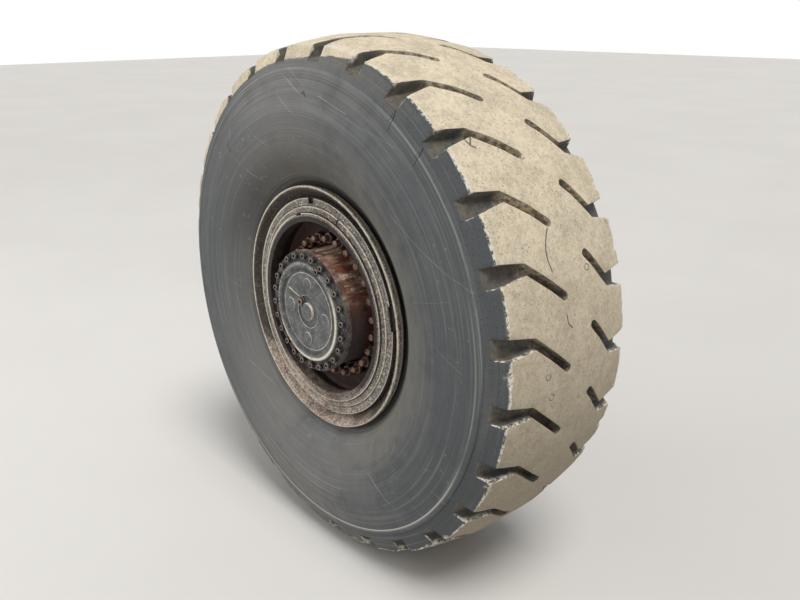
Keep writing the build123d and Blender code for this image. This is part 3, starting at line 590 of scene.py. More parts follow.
def steel_finish(f, rust_share, face, crest_radius, crest_width, hollow=0.0, bore=0.0, cuts=()):
    """Rim steel: mottled beige and brown, rust specks, bright rubbed places, a bright crest of worn steel
    with a painted highlight, dirt and painted shade in the hollow, painted shadow on the lip's back, painted
    shade in the bore and the cuts (place in mm, half width, reach of the cut's mouth), a rusty bloom low
    down."""
    cloud, mottle, fine = f.noise(5), f.noise(48, 6, 0.65), f.noise(170, 5, 0.75)
    f.colour = f.mix(f.ramp(mottle, 0.35, 0.65), face, "steel")
    f.coat(f.mix(0.75, "steel", "dark_rust"), f.ramp(fine, 0.46, 0.52), 0.8)
    f.coat("scratch", f.ramp(f.rings(9.0, 420.0, 1.0), 0.5, 0.66), 0.3)
    low = f.ramp(f.shaken(f.add(f.z, f.times(f.x, 0.2)), cloud, 0.3), -0.2, -0.31)
    clear = 1.0
    if hollow:
        # Dark in the flange's hollow except low down: painted shade, with dirt.
        dirt = f.times(f.ramp(f.shaken(f.radius, fine, 0.006), hollow, hollow - 0.004),
                       f.ramp(low, 1.0, 0.0), f.ramp(mottle, 0.2, 0.45, 0.85, 0.98))
        f.coat(f.mix(f.ramp(fine, 0.4, 0.62), "recess", "dark_rust"), dirt)
        # Dark on the lip's back, facing the tyre: painted shadow of the gap.
        behind = f.ramp(f.calc("ABSOLUTE", f.reach), 0.231, 0.226)
        f.coat("recess", behind, f.ramp(f.radius, 0.372, 0.376), 0.8)
        clear = f.less(1.0, f.times(dirt, 0.8))
    f.coat("pale_rust", low, f.ramp(mottle, 0.34, 0.54), 0.75)
    rusty = f.ramp(f.blend((mottle, 0.4), (fine, 0.3), (cloud, 0.4)), 0.76 - 0.4 * rust_share,
                   0.84 - 0.4 * rust_share)
    f.coat(f.mix(f.ramp(fine, 0.4, 0.6), "rust", "dark_rust"), rusty, f.ramp(low, 0.0, 1.0, 0.8, 0.55), clear)
    worn = f.ramp(f.shaken(f.noise(230, 4, 0.7, (8, 1, 4)), mottle, 0.35), 0.54, 0.6)
    f.coat("bright", worn, clear, 0.75)
    height = f.blend((mottle, 0.8), (fine, 0.7), (rusty, 0.4))
    # Bright crest of the lip: worn steel all round, widened on the left as a painted highlight.
    crest = f.band(f.shaken(f.radius, fine, 0.003), crest_radius, crest_width)
    rubbed = f.times(f.band(f.radius, crest_radius - 0.002, crest_width + 0.002), f.ramp(f.x, -0.05, -0.2))
    crest = f.times(f.most([crest, rubbed]), f.ramp(f.noise(90, 5, 0.7, (5, 2, 2)), 0.26, 0.38))
    f.coat("bright", crest, 0.97)
    pits = f.ramp(f.noise(200, 4, 0.65, (3, 3, 3)), 0.54, 0.6)
    f.coat("dark_rust", pits, f.ramp(crest, 0.0, 1.0, 0.8, 0.35))
    gaps = f.most([f.band(f.radius, radius, 0.0021) for radius in (0.2974, 0.3174, 0.3412)])
    front = f.ramp(f.reach, 0.196, 0.2)
    f.coat("oil", gaps, front, f.ramp(fine, 0.3, 0.44), 0.85)
    # Dark inside the notches, behind their mouths: painted shade.
    for spot, half, mouth in cuts:
        near = f.ramp(f.apart(f.x, f.z, spot), half, half - 0.003)
        f.coat("oil", near, front, f.ramp(f.reach, mouth, mouth - 0.001), 0.9)
    # Dark inside the barrel, weaker low down towards the front where light falls in: painted shade.
    if bore:
        lit = f.times(f.ramp(f.z, -0.16, -0.26), f.ramp(f.reach, 0.17, 0.215))
        f.coat(f.mix(f.times(f.ramp(mottle, 0.4, 0.6), 0.4), "oil", "maroon"),
               f.ramp(f.radius, bore + 0.001, bore - 0.001), f.ramp(lit, 0.0, 1.0, 0.95, 0.2))
    f.done(f.ramp(rusty, 0.0, 1.0, 0.5, 0.85), f.less(height, f.times(pits, 0.6)), 0.0015, 0.1, 0.4)


def rust_finish(f, first, second, spots, spot_share, oil_low=0.0):
    """Old paint and rust in two tones, with pale scuffs and, where asked, dark oil that has run down."""
    mottle, fine, speck = f.noise(26, 6, 0.62), f.noise(110, 5, 0.7), f.noise(380, 3, 0.6)
    f.colour = f.mix(f.ramp(mottle, 0.38, 0.62), first, second)
    scuff = f.ramp(f.blend((mottle, 0.5), (fine, 0.5)), 0.64 - 0.1 * spot_share, 0.7 - 0.1 * spot_share)
    f.coat(spots, scuff, 0.6)
    if oil_low:
        f.coat("oil", f.ramp(f.shaken(f.z, f.noise(6), 0.35), 0.07, -0.07), oil_low)
    f.coat("dark_rust", f.ramp(speck, 0.58, 0.7), 0.5)
    height = f.blend((mottle, 0.7), (fine, 0.5), (speck, 0.2))
    f.done(f.ramp(mottle, 0.3, 0.7, 0.55, 0.85), height, 0.0012, specular=0.4)


def cover_finish(f):
    """Oily grey casting: smooth dull grey, dark film, a rolled edge that is faintly rubbed all round with a
    painted highlight low down, and rubbed edges of its relief.
    """
    cloud, mottle, fine, speck = f.noise(9), f.noise(34, 5, 0.6), f.noise(160, 5, 0.7), f.noise(520, 2, 0.6)
    f.colour = f.mix(f.ramp(mottle, 0.3, 0.7), "cover", f.mix(0.45, "cover", "oil"))
    f.coat("scratch", f.ramp(fine, 0.52, 0.62), 0.35)
    f.coat("oil", f.ramp(f.noise(22, 5, 0.65, (2, 7, 1)), 0.5, 0.62), 0.35)
    f.coat("oil", f.band(f.radius, 0.133, 0.012), f.ramp(mottle, 0.3, 0.5), 0.8)
    f.coat("oil", f.band(f.radius, 0.0495, 0.003), 0.8)
    # Bright rolled edge, strongest on the lower part: painted highlight, with faint rubbing all round.
    low = f.ramp(f.shaken(f.less(f.z, f.times(f.x, 0.6)), cloud, 0.16), 0.04, -0.05)
    worn = f.most([low, f.times(f.ramp(fine, 0.45, 0.55), 0.3)])
    f.coat("bright", f.band(f.radius, 0.1495, 0.0075), worn, f.ramp(fine, 0.3, 0.44))
    patch = f.times(f.band(f.apart(f.x, f.z, (-92, -122)), 0.0, 0.05), f.band(f.radius, 0.15, 0.012))
    f.coat("rust", patch, f.ramp(mottle, 0.35, 0.5), 0.9)
    relief = [f.times(f.band(f.apart(f.x, f.z, polar(*boss)), 0.0195, 0.0016), 0.6) for boss in BOSSES]
    relief += [f.band(f.radius, *edge) for edge in ((0.027, 0.0018), (0.0515, 0.0013), (0.1215, 0.0018))]
    f.coat("bright", f.most(relief), f.ramp(fine, 0.36, 0.5), 0.85)
    f.coat("bright", f.stroke(f.x, f.z, polar(*LEVEL_MARK[0]), polar(58, 136.4), 2.6, 0.001))
    f.coat("oil", f.band(f.apart(f.x, f.z, polar(*OIL_PLUG)), 0.0145, 0.004), 0.8)
    f.coat("scratch", f.ramp(f.streaks(35, 9.0, 300.0), 0.66, 0.72), 0.4)
    height = f.blend((mottle, 0.5), (fine, 0.35), (speck, 0.2))
    f.done(f.ramp(mottle, 0.3, 0.7, 0.38, 0.62), height, 0.0007, 0.15)


def fastener_finish(f, body_colour, rim_colour, share):
    """Fasteners: dirty metal whose upper edges, marked on the mesh, are rubbed bright."""
    mottle, fine = f.noise(70, 5, 0.65), f.noise(240, 4, 0.7)
    f.colour = f.mix(f.ramp(mottle, 0.3, 0.55), body_colour, f.mix(0.4, "dark_rust", "oil"))
    patchy = f.ramp(fine, 0.5 - 0.3 * share, 0.62 - 0.3 * share)
    f.coat(rim_colour, f.ramp(f.mark("rubbed"), 0.2, 0.8), patchy)
    f.coat("oil", f.mark("sunk"))
    f.done(f.ramp(mottle, 0.3, 0.7, 0.45, 0.75), f.blend((mottle, 0.6), (fine, 0.5)), 0.0008, 0.35)


def machined_finish(f, base, dirty):
    """Turned or cast steel in grease: tone changes, fine turning rings, dirt and light rust."""
    cloud, mottle, fine = f.noise(12), f.noise(55, 5, 0.6), f.noise(260, 4, 0.65)
    f.colour = f.mix(f.ramp(mottle, 0.3, 0.7), base, f.mix(0.5, base, "dark_rust"))
    f.coat("oil", f.ramp(cloud, 0.45, 0.65), dirty)
    f.coat("rust", f.ramp(fine, 0.56, 0.66), 0.5)
    turning = f.calc("SINE", f.times(f.radius, 2 * pi / 0.0011))
    height = f.blend((mottle, 0.5), (fine, 0.3), (turning, 0.05))
    f.done(f.ramp(mottle, 0.3, 0.7, 0.35, 0.6), height, 0.0007, 0.45)


def drum_finish(f):
    """Red-brown rust with beige scuffs on top, darker below and deep inside, and a black screw ring of oil
    and painted shadow of the screw heads.
    """
    cloud, mottle, fine, speck = f.noise(7), f.noise(24, 6, 0.62), f.noise(105, 5, 0.7), f.noise(380, 3, 0.6)
    high = f.ramp(f.shaken(f.z, cloud, 0.2), 0.0, 0.12)
    smear = f.drawn_out(f.times(f.x, 52.0), f.times(f.y, 13.0), f.times(f.z, 52.0), 5.0, 0.65)
    f.colour = f.mix(f.ramp(mottle, 0.4, 0.66), "rust", "dark_rust")
    f.coat(f.mix(0.5, "rust", "dust"), f.ramp(smear, 0.42, 0.6), high, 0.6)
    f.coat("bright", f.ramp(f.blend((smear, 0.5), (fine, 0.5)), 0.53, 0.6), high, 0.6)
    # Darker towards the bottom, and deeper inside lower down.
    f.coat(f.mix(0.4, "oil", "dark_rust"), f.ramp(f.shaken(f.z, cloud, 0.3), 0.05, -0.09), 0.75)
    depth = f.times(f.y, -1.0)
    f.coat(f.mix(0.35, "oil", "cover"), f.ramp(depth, 0.42, 0.47), f.ramp(f.z, 0.1, 0.0),
           f.ramp(mottle, 0.4, 0.6, 0.85, 0.55))
    edge = f.mix(f.ramp(fine, 0.44, 0.58), "steel", "dark_rust")
    f.coat(edge, f.ramp(depth, 0.506, 0.509), f.ramp(f.z, -0.05, 0.08, 0.7, 0.35))
    # Dark ring on the drum's face round the screws: oil and painted shadow of the screw heads.
    face = f.times(f.ramp(depth, 0.5285, 0.5295), f.ramp(f.radius, 0.15, 0.156))
    f.coat(f.mix(f.ramp(mottle, 0.46, 0.6), "oil", f.mix(0.5, "oil", "cover")), face)
    f.coat("steel", face, f.ramp(fine, 0.54, 0.62), 0.6)
    f.coat("dark_rust", f.ramp(speck, 0.58, 0.7), 0.5)
    height = f.blend((mottle, 0.7), (fine, 0.5), (speck, 0.2))
    f.done(f.ramp(mottle, 0.3, 0.7, 0.45, 0.8), height, 0.0012, 0.1)


def floor_finish(f):
    """Pale floor with faint patches."""
    f.colour = f.mix(f.ramp(f.noise(0.8, 3), 0.3, 0.7), "floor", f.mix(0.05, "floor", "steel"))
    f.done(0.9, specular=0.2)


# Tyre

# Where a groove bends, the tread's half width, and the radius at which arc lengths are measured.
KINK, HALF_TREAD, RUN_RADIUS = 147.5, 225.5, 795.0
# Angle of the first outboard groove, and how far round the inboard row is set back.
FIRST_GROOVE, STAGGER = 7.35, 6.2
# Run and lean of each row's slots, and the width over which a wall bends.
OUTBOARD, INBOARD = (119.0, radians(39.0)), (86.0, radians(47.0))
BEND = 0.8
LEVEL_HALF, FLANK_SLOPE, FLOOR_SLOPE = 85, 0.451, 0.246
# (distance outside a groove's line, share of its depth) of the columns on one side of it, and the evenly
# spaced columns on a lug between two grooves.
EDGE_LADDER = [(-5.0, 1.0), (-2.2, 0.975), (-1.0, 0.9), (-0.5, 0.48), (0.0, 0.07), (1.0, 0.018), (3.2, 0.0)]
LUG_COLUMNS = 11
PITCH_COLUMNS = 2 * len(EDGE_LADDER) + 1 + LUG_COLUMNS
# (radius, reach of the groove's floor line) up the flank; reach of the rows from the shoulder inwards.
FLANK_ROWS = [
    (709, None), (715, None), (721, None), (727, None), (733, None), (738, 245.1), (741, 244.0),
    (747, 241.0), (755, 236.0), (763, 230.0), (770, 224.0), (775.5, 219.5), (779.0, 216.5), (780.7, 215.4),
]
CROWN_ROWS = [224.8, 223.4, 220.5, 215, 207, 197, 186, 175, 165, 158, 152,
              149, 147.5, 146, 143, 136, 126, 114, 102, 90, 78, 67]
# Rows past a slot's blind end, the farthest outboard first.
TIP_ROWS = [21, 16.5, 12.5, 9, 6.5, 4.6, 3, 1.6, 0.5, -0.6, -2.0, -4.2, -9, -17]


def crown_radius(u):
    """Level middle, then a straight fall to the shoulder: R - (R - S) max(0, (|u| - m) / (H - m))."""
    top, edge = sizes().crown, sizes().shoulder
    return top - 0.4 - (top - edge) * np.clip((np.abs(u) - LEVEL_HALF) / (HALF_TREAD - LEVEL_HALF), 0, None)


def flank_reach(r):
    """Flank under the shoulder edge: u = H + s (S - r)."""
    return HALF_TREAD + FLANK_SLOPE * (sizes().shoulder - r)


def floor_radius(u):
    """Groove floor: level under the crown, falling by a slope past the bend."""
    return sizes().crown - sizes().slot_depth - FLOOR_SLOPE * np.clip(np.abs(u) - KINK, 0, None)


def groove_tip(run, lean):
    """Middle of a slot's round blind end, from the middle plane."""
    return KINK - run + sizes().slot_width / 2 * cos(lean)


def groove_side(v, offset, side, run, lean):
    """Line that lies offset outside a groove's wall, at v from the middle plane. The slot's wall
    (K - v) tan L +- (h + o) / cos L and the mouth's wall +-(k + s (v - K) + o) meet in a sharp bend,
    w log(e^(a/w) + e^(b/w)); round the blind end x = xc +- sqrt((h + o)^2 - (v - vc)^2)."""
    half = sizes().slot_width / 2
    at_bend = half / cos(lean)
    slope = (sizes().mouth_width / 2 - at_bend) / (HALF_TREAD - KINK)
    slot = (KINK - v) * tan(lean) + side * (half + offset) / cos(lean)
    mouth = side * (at_bend + slope * (np.minimum(v, HALF_TREAD) - KINK) + offset)
    wall = BEND * np.logaddexp(slot / BEND, mouth / BEND)
    centre_v = groove_tip(run, lean)
    centre_x = (KINK - centre_v) * tan(lean)
    spread = smooth_step(np.clip((centre_v - half - v) / 18, 0, 1))
    end_half = np.sqrt(np.clip((half + offset) ** 2 - (v - centre_v) ** 2, 0, None))
    end_half = np.maximum(end_half, spread * (half + offset) / cos(lean))
    end = centre_x + ((KINK - v) * tan(lean) - centre_x) * spread + side * end_half
    along = (KINK - v) * cos(lean) + wall * sin(lean)
    return np.where(along > (KINK - centre_v) / cos(lean), end, wall)


def tread_rows():
    """Lug line and floor line (u, r) of every row from the outboard flank over the crown to the inboard
    one, 1 for the rows on a flank, 1 for the rows that grooves reach, and both rows of blind ends. Past
    186 mm the floor line's reach grows by 0.734 of the lug line's."""
    flank = np.array([(flank_reach(r), r, flank_reach(r) if low is None else low,
                       r if low is None else floor_radius(low)) for r, low in FLANK_ROWS])
    half = sizes().slot_width / 2
    outer_tip, inner_tip = groove_tip(*OUTBOARD) - half, groove_tip(*INBOARD) - half
    crown = [v for v in CROWN_ROWS if v > outer_tip + 23] + [outer_tip + d for d in TIP_ROWS]
    crown += list(np.linspace(outer_tip - 25, 25 - inner_tip, 4)) + [-(inner_tip + d) for d in TIP_ROWS[::-1]]
    crown = np.array(crown + [-v for v in CROWN_ROWS[::-1] if v > inner_tip + 23])
    far = np.abs(crown)
    low = np.sign(crown) * (np.minimum(far, 186) + 0.734 * np.clip(far - 186, 0, None))
    tops = np.stack([crown, crown_radius(crown), low, floor_radius(low)], 1)
    rows = np.concatenate([flank, tops, flank[::-1] * [-1, 1, -1, 1]])
    on_flank = np.r_[np.ones(len(flank)), np.zeros(len(crown)), np.ones(len(flank))]
    cut = np.abs(rows[:, 0]) < flank_reach(737.0)
    return rows, on_flank[:, None], cut.astype(float)[:, None], outer_tip, inner_tip


def tread_columns(rows, outer_tip, inner_tip):
    """Arc length x, share f of the groove's depth and distance to the groove, for every row and column of
    one pitch: x = (1 - t) x_out + t x_in, with t a smooth step between the two rows' blind ends."""
    pitch = 2 * pi * RUN_RADIUS / sizes().pitches
    lower = radians(FIRST_GROOVE) * RUN_RADIUS
    upper = radians(FIRST_GROOVE - STAGGER) * RUN_RADIUS - pitch
    t = smooth_step(np.clip((outer_tip - rows[:, 0]) / (outer_tip + inner_tip), 0, 1))
    past = np.where(t < 0.5, outer_tip - rows[:, 0], inner_tip + rows[:, 0])
    offsets, shares = np.array(EDGE_LADDER).T

    def column(offset, share, side):
        """One column beside the groove, on its side +1 or -1."""
        u = (1 - share) * rows[:, 0] + share * rows[:, 2]
        out_x = lower - groove_side(u, offset, side, *OUTBOARD)
        in_x = upper + groove_side(-u, offset, -side, *INBOARD)
        far = np.maximum(offset, past)
        return (1 - t) * out_x + t * in_x, np.interp(far, offsets, shares), far

    low_side = [column(*step, 1) for step in EDGE_LADDER[::-1]]
    high_side = [column(*step, -1) for step in EDGE_LADDER]
    centre = ((low_side[-1][0] + high_side[0][0]) / 2, low_side[-1][1], low_side[-1][2])
    columns = low_side + [centre] + high_side
    first, last = columns[0][0], columns[-1][0]
    gap = pitch - (last - first)
    for share in np.arange(1, LUG_COLUMNS + 1) / (LUG_COLUMNS + 1):
        columns.append((last + gap * share, 0 * gap, EDGE_LADDER[-1][0] + gap * min(share, 1 - share)))
    return (np.stack([c[k] for c in columns], 1) for k in range(3))


def around(values, step):
    """The columns of one pitch repeated round the wheel, each pitch step further on."""
    turns = np.arange(sizes().pitches)[None, :, None] * step
    return (values[:, None, :] + turns).reshape(len(values), -1)


def worn_tread(u, r, angle, f, far, on_flank, cut):
    """Tread points after wear: rounded and sunken edges, shallow waves, torn shoulders and chips. The last
    two values are the shares of torn shoulder and the depth of the chips."""
    ax, az = 804 * np.cos(angle), 804 * np.sin(angle)
    u = u - np.sign(u) * np.interp(far, [-1, 0, 1.0, 3.2], [2.6, 2.6, 0.8, 0]) * on_flank * cut * (1 - f)
    sunken = np.exp(-np.clip(HALF_TREAD - np.abs(u), 0, None) / 10) * np.exp(-np.clip(far, 0, None) / 12)
    r = r - 3.5 * sunken * (1 - f) * (1 - on_flank)
    r = r + np.minimum(0.7 * waves(ax + 0.7 * u, az - 0.4 * u, 3, 18, 0.02, 0.16) - 0.7, 0.0)
    shoulder = np.exp(-((np.abs(u) - 224.5) / 3.5) ** 2) * np.exp(-((r - 780) / 6) ** 2) * (1 - f)
    ragged = waves(ax * 2.1 + u, az * 2.1, 9, 18, 0.1, 0.5)
    r = r - 1.4 * shoulder * np.clip(ragged, 0, 2)
    u = u - np.sign(u) * 1.6 * shoulder * np.clip(-ragged, 0, 2)
    chipped = chips(angle, u) * (r > 755) * (np.abs(u) > 198) * (1 - f)
    return u - np.sign(u) * 0.6 * chipped, r - chipped, shoulder, chipped


def tread_grid():
    """Points of the tread and its marks for dust, torn edges and the grooves' inside. A column's share f of
    the groove's depth blends each point from the lug's line to the floor's line."""
    rows, on_flank, cut, outer_tip, inner_tip = tread_rows()
    x, f, far = tread_columns(rows, outer_tip, inner_tip)
    angle = around(x, 2 * pi * RUN_RADIUS / sizes().pitches) / RUN_RADIUS
    f, far = around(f * cut, 0.0), around(far, 0.0)
    u = (1 - f) * rows[:, :1] + f * rows[:, 2:3]
    r = (1 - f) * rows[:, 1:2] + f * rows[:, 3:]
    u, r, shoulder, chipped = worn_tread(u, r, angle, f, far, on_flank, cut)

    floor = np.clip((f - 0.85) / 0.12, 0, 1)
    dusted = 778 - 42 * np.clip((np.cos(angle - radians(145)) - 0.2) / 0.4, 0, 1)
    dust = (1 - on_flank) * (1 - np.clip(f * 12, 0, 1))
    dust = dust + on_flank * (1 - f) * np.clip((r - dusted) / 8, 0.0, 0.9)
    dust = np.clip(dust + 0.35 * floor * cut * (np.abs(u) < 150), 0, 1)
    upper = np.tile(np.arange(PITCH_COLUMNS) < len(EDGE_LADDER), sizes().pitches)[None, :]
    upper_edge = upper * (np.abs(u) > KINK + 10)
    lug_edge = np.interp(far, [-1.5, -0.2, 0.3, 1.2, 3.6], [0, 0.6, 1, 0.7, 0]) * (r > 745) * (1 - f) * cut
    edge = 1.1 * shoulder + (0.4 + 0.6 * upper_edge) * lug_edge + 0.5 * np.clip(chipped / 3, 0, 1)
    marks = {"dust": dust, "edge": np.clip(edge, 0, 1), "inside": np.clip((f - 0.03) / 0.05, 0, 1) * cut}

    back = np.array([(-250, 700), (-120, 722), (0, 724), (120, 722), (250, 700)], float)
    points = np.concatenate([ring_points(u, r, angle), turned(back, angle[0])])
    return points, marks


def chips(angle, u):
    """Seeded chips along both shoulders: sum of b exp(-d^2 / s^2), at most 7 mm."""
    rng = np.random.default_rng(12)
    where, side = rng.uniform(0, 2 * pi, 150), rng.choice([-1, 1], 150) * rng.uniform(215, 226, 150)
    spread, bite = rng.uniform(6, 14, 150), rng.uniform(0.2, 1, 150) ** 2 * sizes().chip_size
    total = np.zeros_like(u)
    for middle, reach, s, b in zip(where, side, spread, bite):
        away = (turn_between(angle, middle) * RUN_RADIUS) ** 2 + (u - reach) ** 2
        total += b * np.exp(-away / s ** 2)
    return np.minimum(total, 7.0)


SIDEWALL = [(190.2, 318.0), (190.2, 334), (192, 352), (212.2, 395), (228.5, 415), (265.5, 483), (280.5, 585),
            (273.6, 640), (264, 684), (263.3, 690), (261.8, 702), (260.2, 710), (253.6, 717.5)]
HOLLOW = [(240, 718), (150, 712), (225, 665), (252, 585), (232, 480), (166, 380), (122, 338), (110, 322)]
RIDGES = np.array([404, 414, 526, 548, 572, 596, 622, 648, 668.0])


def casing_section():
    """Closed section of the casing: beads, sidewalls with their rings, and the hollow."""
    outer = smooth_line(SIDEWALL, 9)
    extra = (RIDGES[:, None] + np.array([-2.6, -1.2, 0, 1.2, 2.6])).ravel()
    keep = outer[:, 1] < 700
    radii = np.sort(np.concatenate([outer[keep, 1], extra]))
    radii = radii[radii >= outer[0, 1]]
    u = np.interp(radii, outer[:, 1], outer[:, 0])
    u = u + sizes().ridge * np.exp(-((radii[:, None] - RIDGES) / 1.5) ** 2).sum(1)
    outer = np.concatenate([np.stack([u, radii], 1), outer[~keep]])
    bead = [[106, 311.5], [105.2, 310.4], [145, 313.9]]
    half = np.concatenate([smooth_line(HOLLOW, 5)[:0:-1], bead, outer])
    return np.concatenate([half, half[::-1] * [-1, 1]])


class TYRE_OT_tread(bpy.types.Operator):
    """Lug tread with flared, leaning grooves"""
    bl_idname = "wheel_end.tread"
    bl_label = "Tread"

    def execute(self, context):
        points, marks = tread_grid()
        finish = material("dusty_tread_rubber", tread_finish)
        make_piece("tyre_tread", "tyre", [(points, HOOP)], finish, marks, crease=40)
        return {"FINISHED"}


class TYRE_OT_casing(bpy.types.Operator):
    """Sidewalls and beads"""
    bl_idname = "wheel_end.casing"
    bl_label = "Casing"

    def execute(self, context):
        finish = material("weathered_sidewall_rubber", sidewall_finish)
        make_piece("tyre_casing", "tyre", [(turned(casing_section(), circle(256)), HOOP)], finish, crease=50)
        return {"FINISHED"}


# Rim

BASE_NOTCH, BAND_KEY, BAND_POCKET = 107.0, 95.5, 9.5
LOCK_RING_SPLIT, LOCK_RING_GAP = 70.6, 8.0

# Sections of the rim's pieces. The flange's reach runs outward from the tyre's foot.
FLANGE = [(0, 317.8, 1), (0, 345, 14), (12, 369, 9), (30, 378.5, 12), (43, 381, 5), (49, 375, 5),
          (43, 367, 4), (26, 358, 9), (14, 341.3, 8), (14, 317.8, 1)]
BASE = [(235.5, 270, 3), (235.5, 291, 0.2), (235.5, 297, 2.5), (217.5, 297, 2), (217.5, 291, 0.2),
        (217.5, 288, 1), (197.5, 288, 2), (197.5, 300, 2), (-95.5, 300, 4), (-105.5, 310.1, 3),
        (-190.5, 317.5, 2), (-204.8, 317.5, 2), (-204.8, 341, 2), (-224.8, 341, 3), (-224.8, 284, 3),
        (181.5, 284, 8), (195.5, 270, 8)]
BAND = [(224.8, 317.3, 1.5), (224.8, 323.5, 0.2), (224.8, 332, 0.2), (224.8, 341, 2.5), (214.8, 341, 0.2),
        (204.8, 341, 2), (204.8, 317.5, 3), (190.5, 317.5, 2), (93.8, 309.1, 2), (93.8, 300.3, 1),
        (185.5, 300.3, 3), (197.5, 317.3, 2)]
LOCK_RING = [(217.2, 288.3, 1), (217.2, 297.3, 1), (229.5, 297.3, 2), (229.5, 312, 3), (224.5, 317, 3),
             (197.8, 317, 2), (197.8, 288.3, 1)]
DISC = [(155.5, 190.5, 2), (155.5, 276, 6), (163.5, 284, 4), (127.5, 284, 4), (135.5, 276, 6),
        (135.5, 190.5, 2)]


def recut(corners, moved):
    """The rounded section with some of its corners moved; moved gives the new corner for a number."""
    return rounded([moved.get(k, corner) for k, corner in enumerate(corners)])


def notched(section, cut_section, middle, half, radius):
    """Revolved section that changes to cut_section over a notch (middle in degrees, half width in mm at a
    radius): P(a) = (1 - w) S + w C, with w stepping from 0 to 1 at the notch's sides."""
    spread, middle = half / radius, radians(middle)
    plain = circle(288)
    plain = plain[np.abs(turn_between(plain, middle)) > spread + 0.004]
    inner = middle + np.linspace(-1, 1, 7) * spread
    angles = np.concatenate([plain, inner, middle + np.array([-spread - 0.0012, spread + 0.0012])])
    weight = np.concatenate([np.zeros(len(plain)), np.ones(7), np.zeros(2)])
    order = np.argsort(np.mod(angles, 2 * pi))
    angles, weight = angles[order], weight[order][None, :, None]
    return (1 - weight) * turned(section, angles) + weight * turned(cut_section, angles)


def dented(points, amount, seed):
    """Small dents of the hoop: every point moves along its radius by amount times gentle noise."""
    radial = (points - [0, points[..., 1].mean(), 0]) * [1, 0, 1]
    radial /= np.linalg.norm(radial, axis=-1, keepdims=True)
    return points + radial * (amount * waves(points[..., 0], points[..., 2], seed, 12, 0.01, 0.09))[..., None]


class RIM_OT_flanges(bpy.types.Operator):
    """Side flanges with rolled lips"""
    bl_idname = "wheel_end.side_flanges"
    bl_label = "Side flanges"

    def execute(self, context):
        finish = material("worn_flange_steel", steel_finish, 0.5, "steel", 0.3772, 0.0034, hollow=0.3745)
        for side, node in ((1, "outer_side_flange"), (-1, "inner_side_flange")):
            section = rounded(FLANGE, 6) * [side, 1] + [side * 190.5, 0]
            grid = dented(turned(section, circle(288)), 0.35, 5 + side)
            make_piece(node + "_rolled", node, [(grid, HOOP)], finish)
        return {"FINISHED"}


class RIM_OT_base(bpy.types.Operator):
    """Rim base with gutter, back lip and one notch in its front lip"""
    bl_idname = "wheel_end.rim_base"
    bl_label = "Rim base"

    def execute(self, context):
        cut = recut(BASE, {2: (235.3, 291, 0.2), 3: (217.7, 291, 0.2)})
        grid = notched(rounded(BASE), cut, BASE_NOTCH, 13.5, 297.0)
        finish = material("weathered_base_steel", steel_finish, 0.5, "steel", 0.295, 0.0025, bore=0.2865,
                          cuts=[(polar(294, BASE_NOTCH), 0.016, 0.2345)])
        make_piece("rim_base_turned", "rim_base", [(grid, HOOP)], finish)
        return {"FINISHED"}


class RIM_OT_band(bpy.types.Operator):
    """Bead seat band with its key notch and its pocket for a pry bar"""
    bl_idname = "wheel_end.seat_band"
    bl_label = "Bead seat band"

    def execute(self, context):
        key = recut(BAND, {2: (214.9, 323.6, 0.2), 3: (214.8, 340.9, 0.2)})
        pocket = recut(BAND, {1: (224.8, 331.9, 0.2), 2: (214.9, 332.1, 0.2), 3: (214.8, 340.9, 0.2)})
        parts = []
        for cut, middle, half, low, high in ((pocket, BAND_POCKET, 37.0, 0, 50),
                                             (key, BAND_KEY, 13.5, 50, 360)):
            grid = notched(rounded(BAND), cut, middle, half, 341.0)
            angles = np.mod(np.arctan2(grid[0, :, 2], grid[0, :, 0]), 2 * pi)
            parts.append(grid[:, (angles >= radians(low)) & (angles < radians(high))])
        finish = material("mottled_band_steel", steel_finish, 0.42, "blued", 0.3395, 0.0022,
                          cuts=[(polar(332, BAND_KEY), 0.018, 0.2235),
                                (polar(336, BAND_POCKET), 0.042, 0.2225)])
        make_piece("bead_seat_band_turned", "bead_seat_band", [(np.concatenate(parts, 1), HOOP)], finish)
        return {"FINISHED"}


class RIM_OT_lock_ring(bpy.types.Operator):
    """Split lock ring, sprung into the base's gutter"""
    bl_idname = "wheel_end.lock_ring"
    bl_label = "Lock ring"

    def execute(self, context):
        half_gap = LOCK_RING_GAP / 2 / 317.0
        angles = radians(LOCK_RING_SPLIT) + np.linspace(half_gap, 2 * pi - half_gap, 289)
        grid = dented(turned(rounded(LOCK_RING), angles), 0.2, 21)
        finish = material("mottled_lock_ring_steel", steel_finish, 0.45, "steel", 0.3145, 0.0028)
        make_piece("lock_ring_sprung", "lock_ring", [(grid, SPLIT_HOOP)], finish)
        return {"FINISHED"}


class RIM_OT_disc(bpy.types.Operator):
    """Wheel disc, welded into the barrel"""
    bl_idname = "wheel_end.disc"
    bl_label = "Wheel disc"

    def execute(self, context):
        finish = material("dark_red_disc_paint", rust_finish, "maroon", "dark_rust", "rust", 0.35)
        make_piece("wheel_disc_welded", "wheel_disc", [(turned(rounded(DISC), circle(240)), HOOP)], finish)
        return {"FINISHED"}


# Fasteners

def polygon_radius(angles, half_width, corners):
    """Radius of a regular polygon: r(a) = h / cos((a mod s) - s / 2), with s = 2 pi / corners."""
    step = 2 * pi / corners
    return half_width / np.cos(np.mod(angles, step) - step / 2)


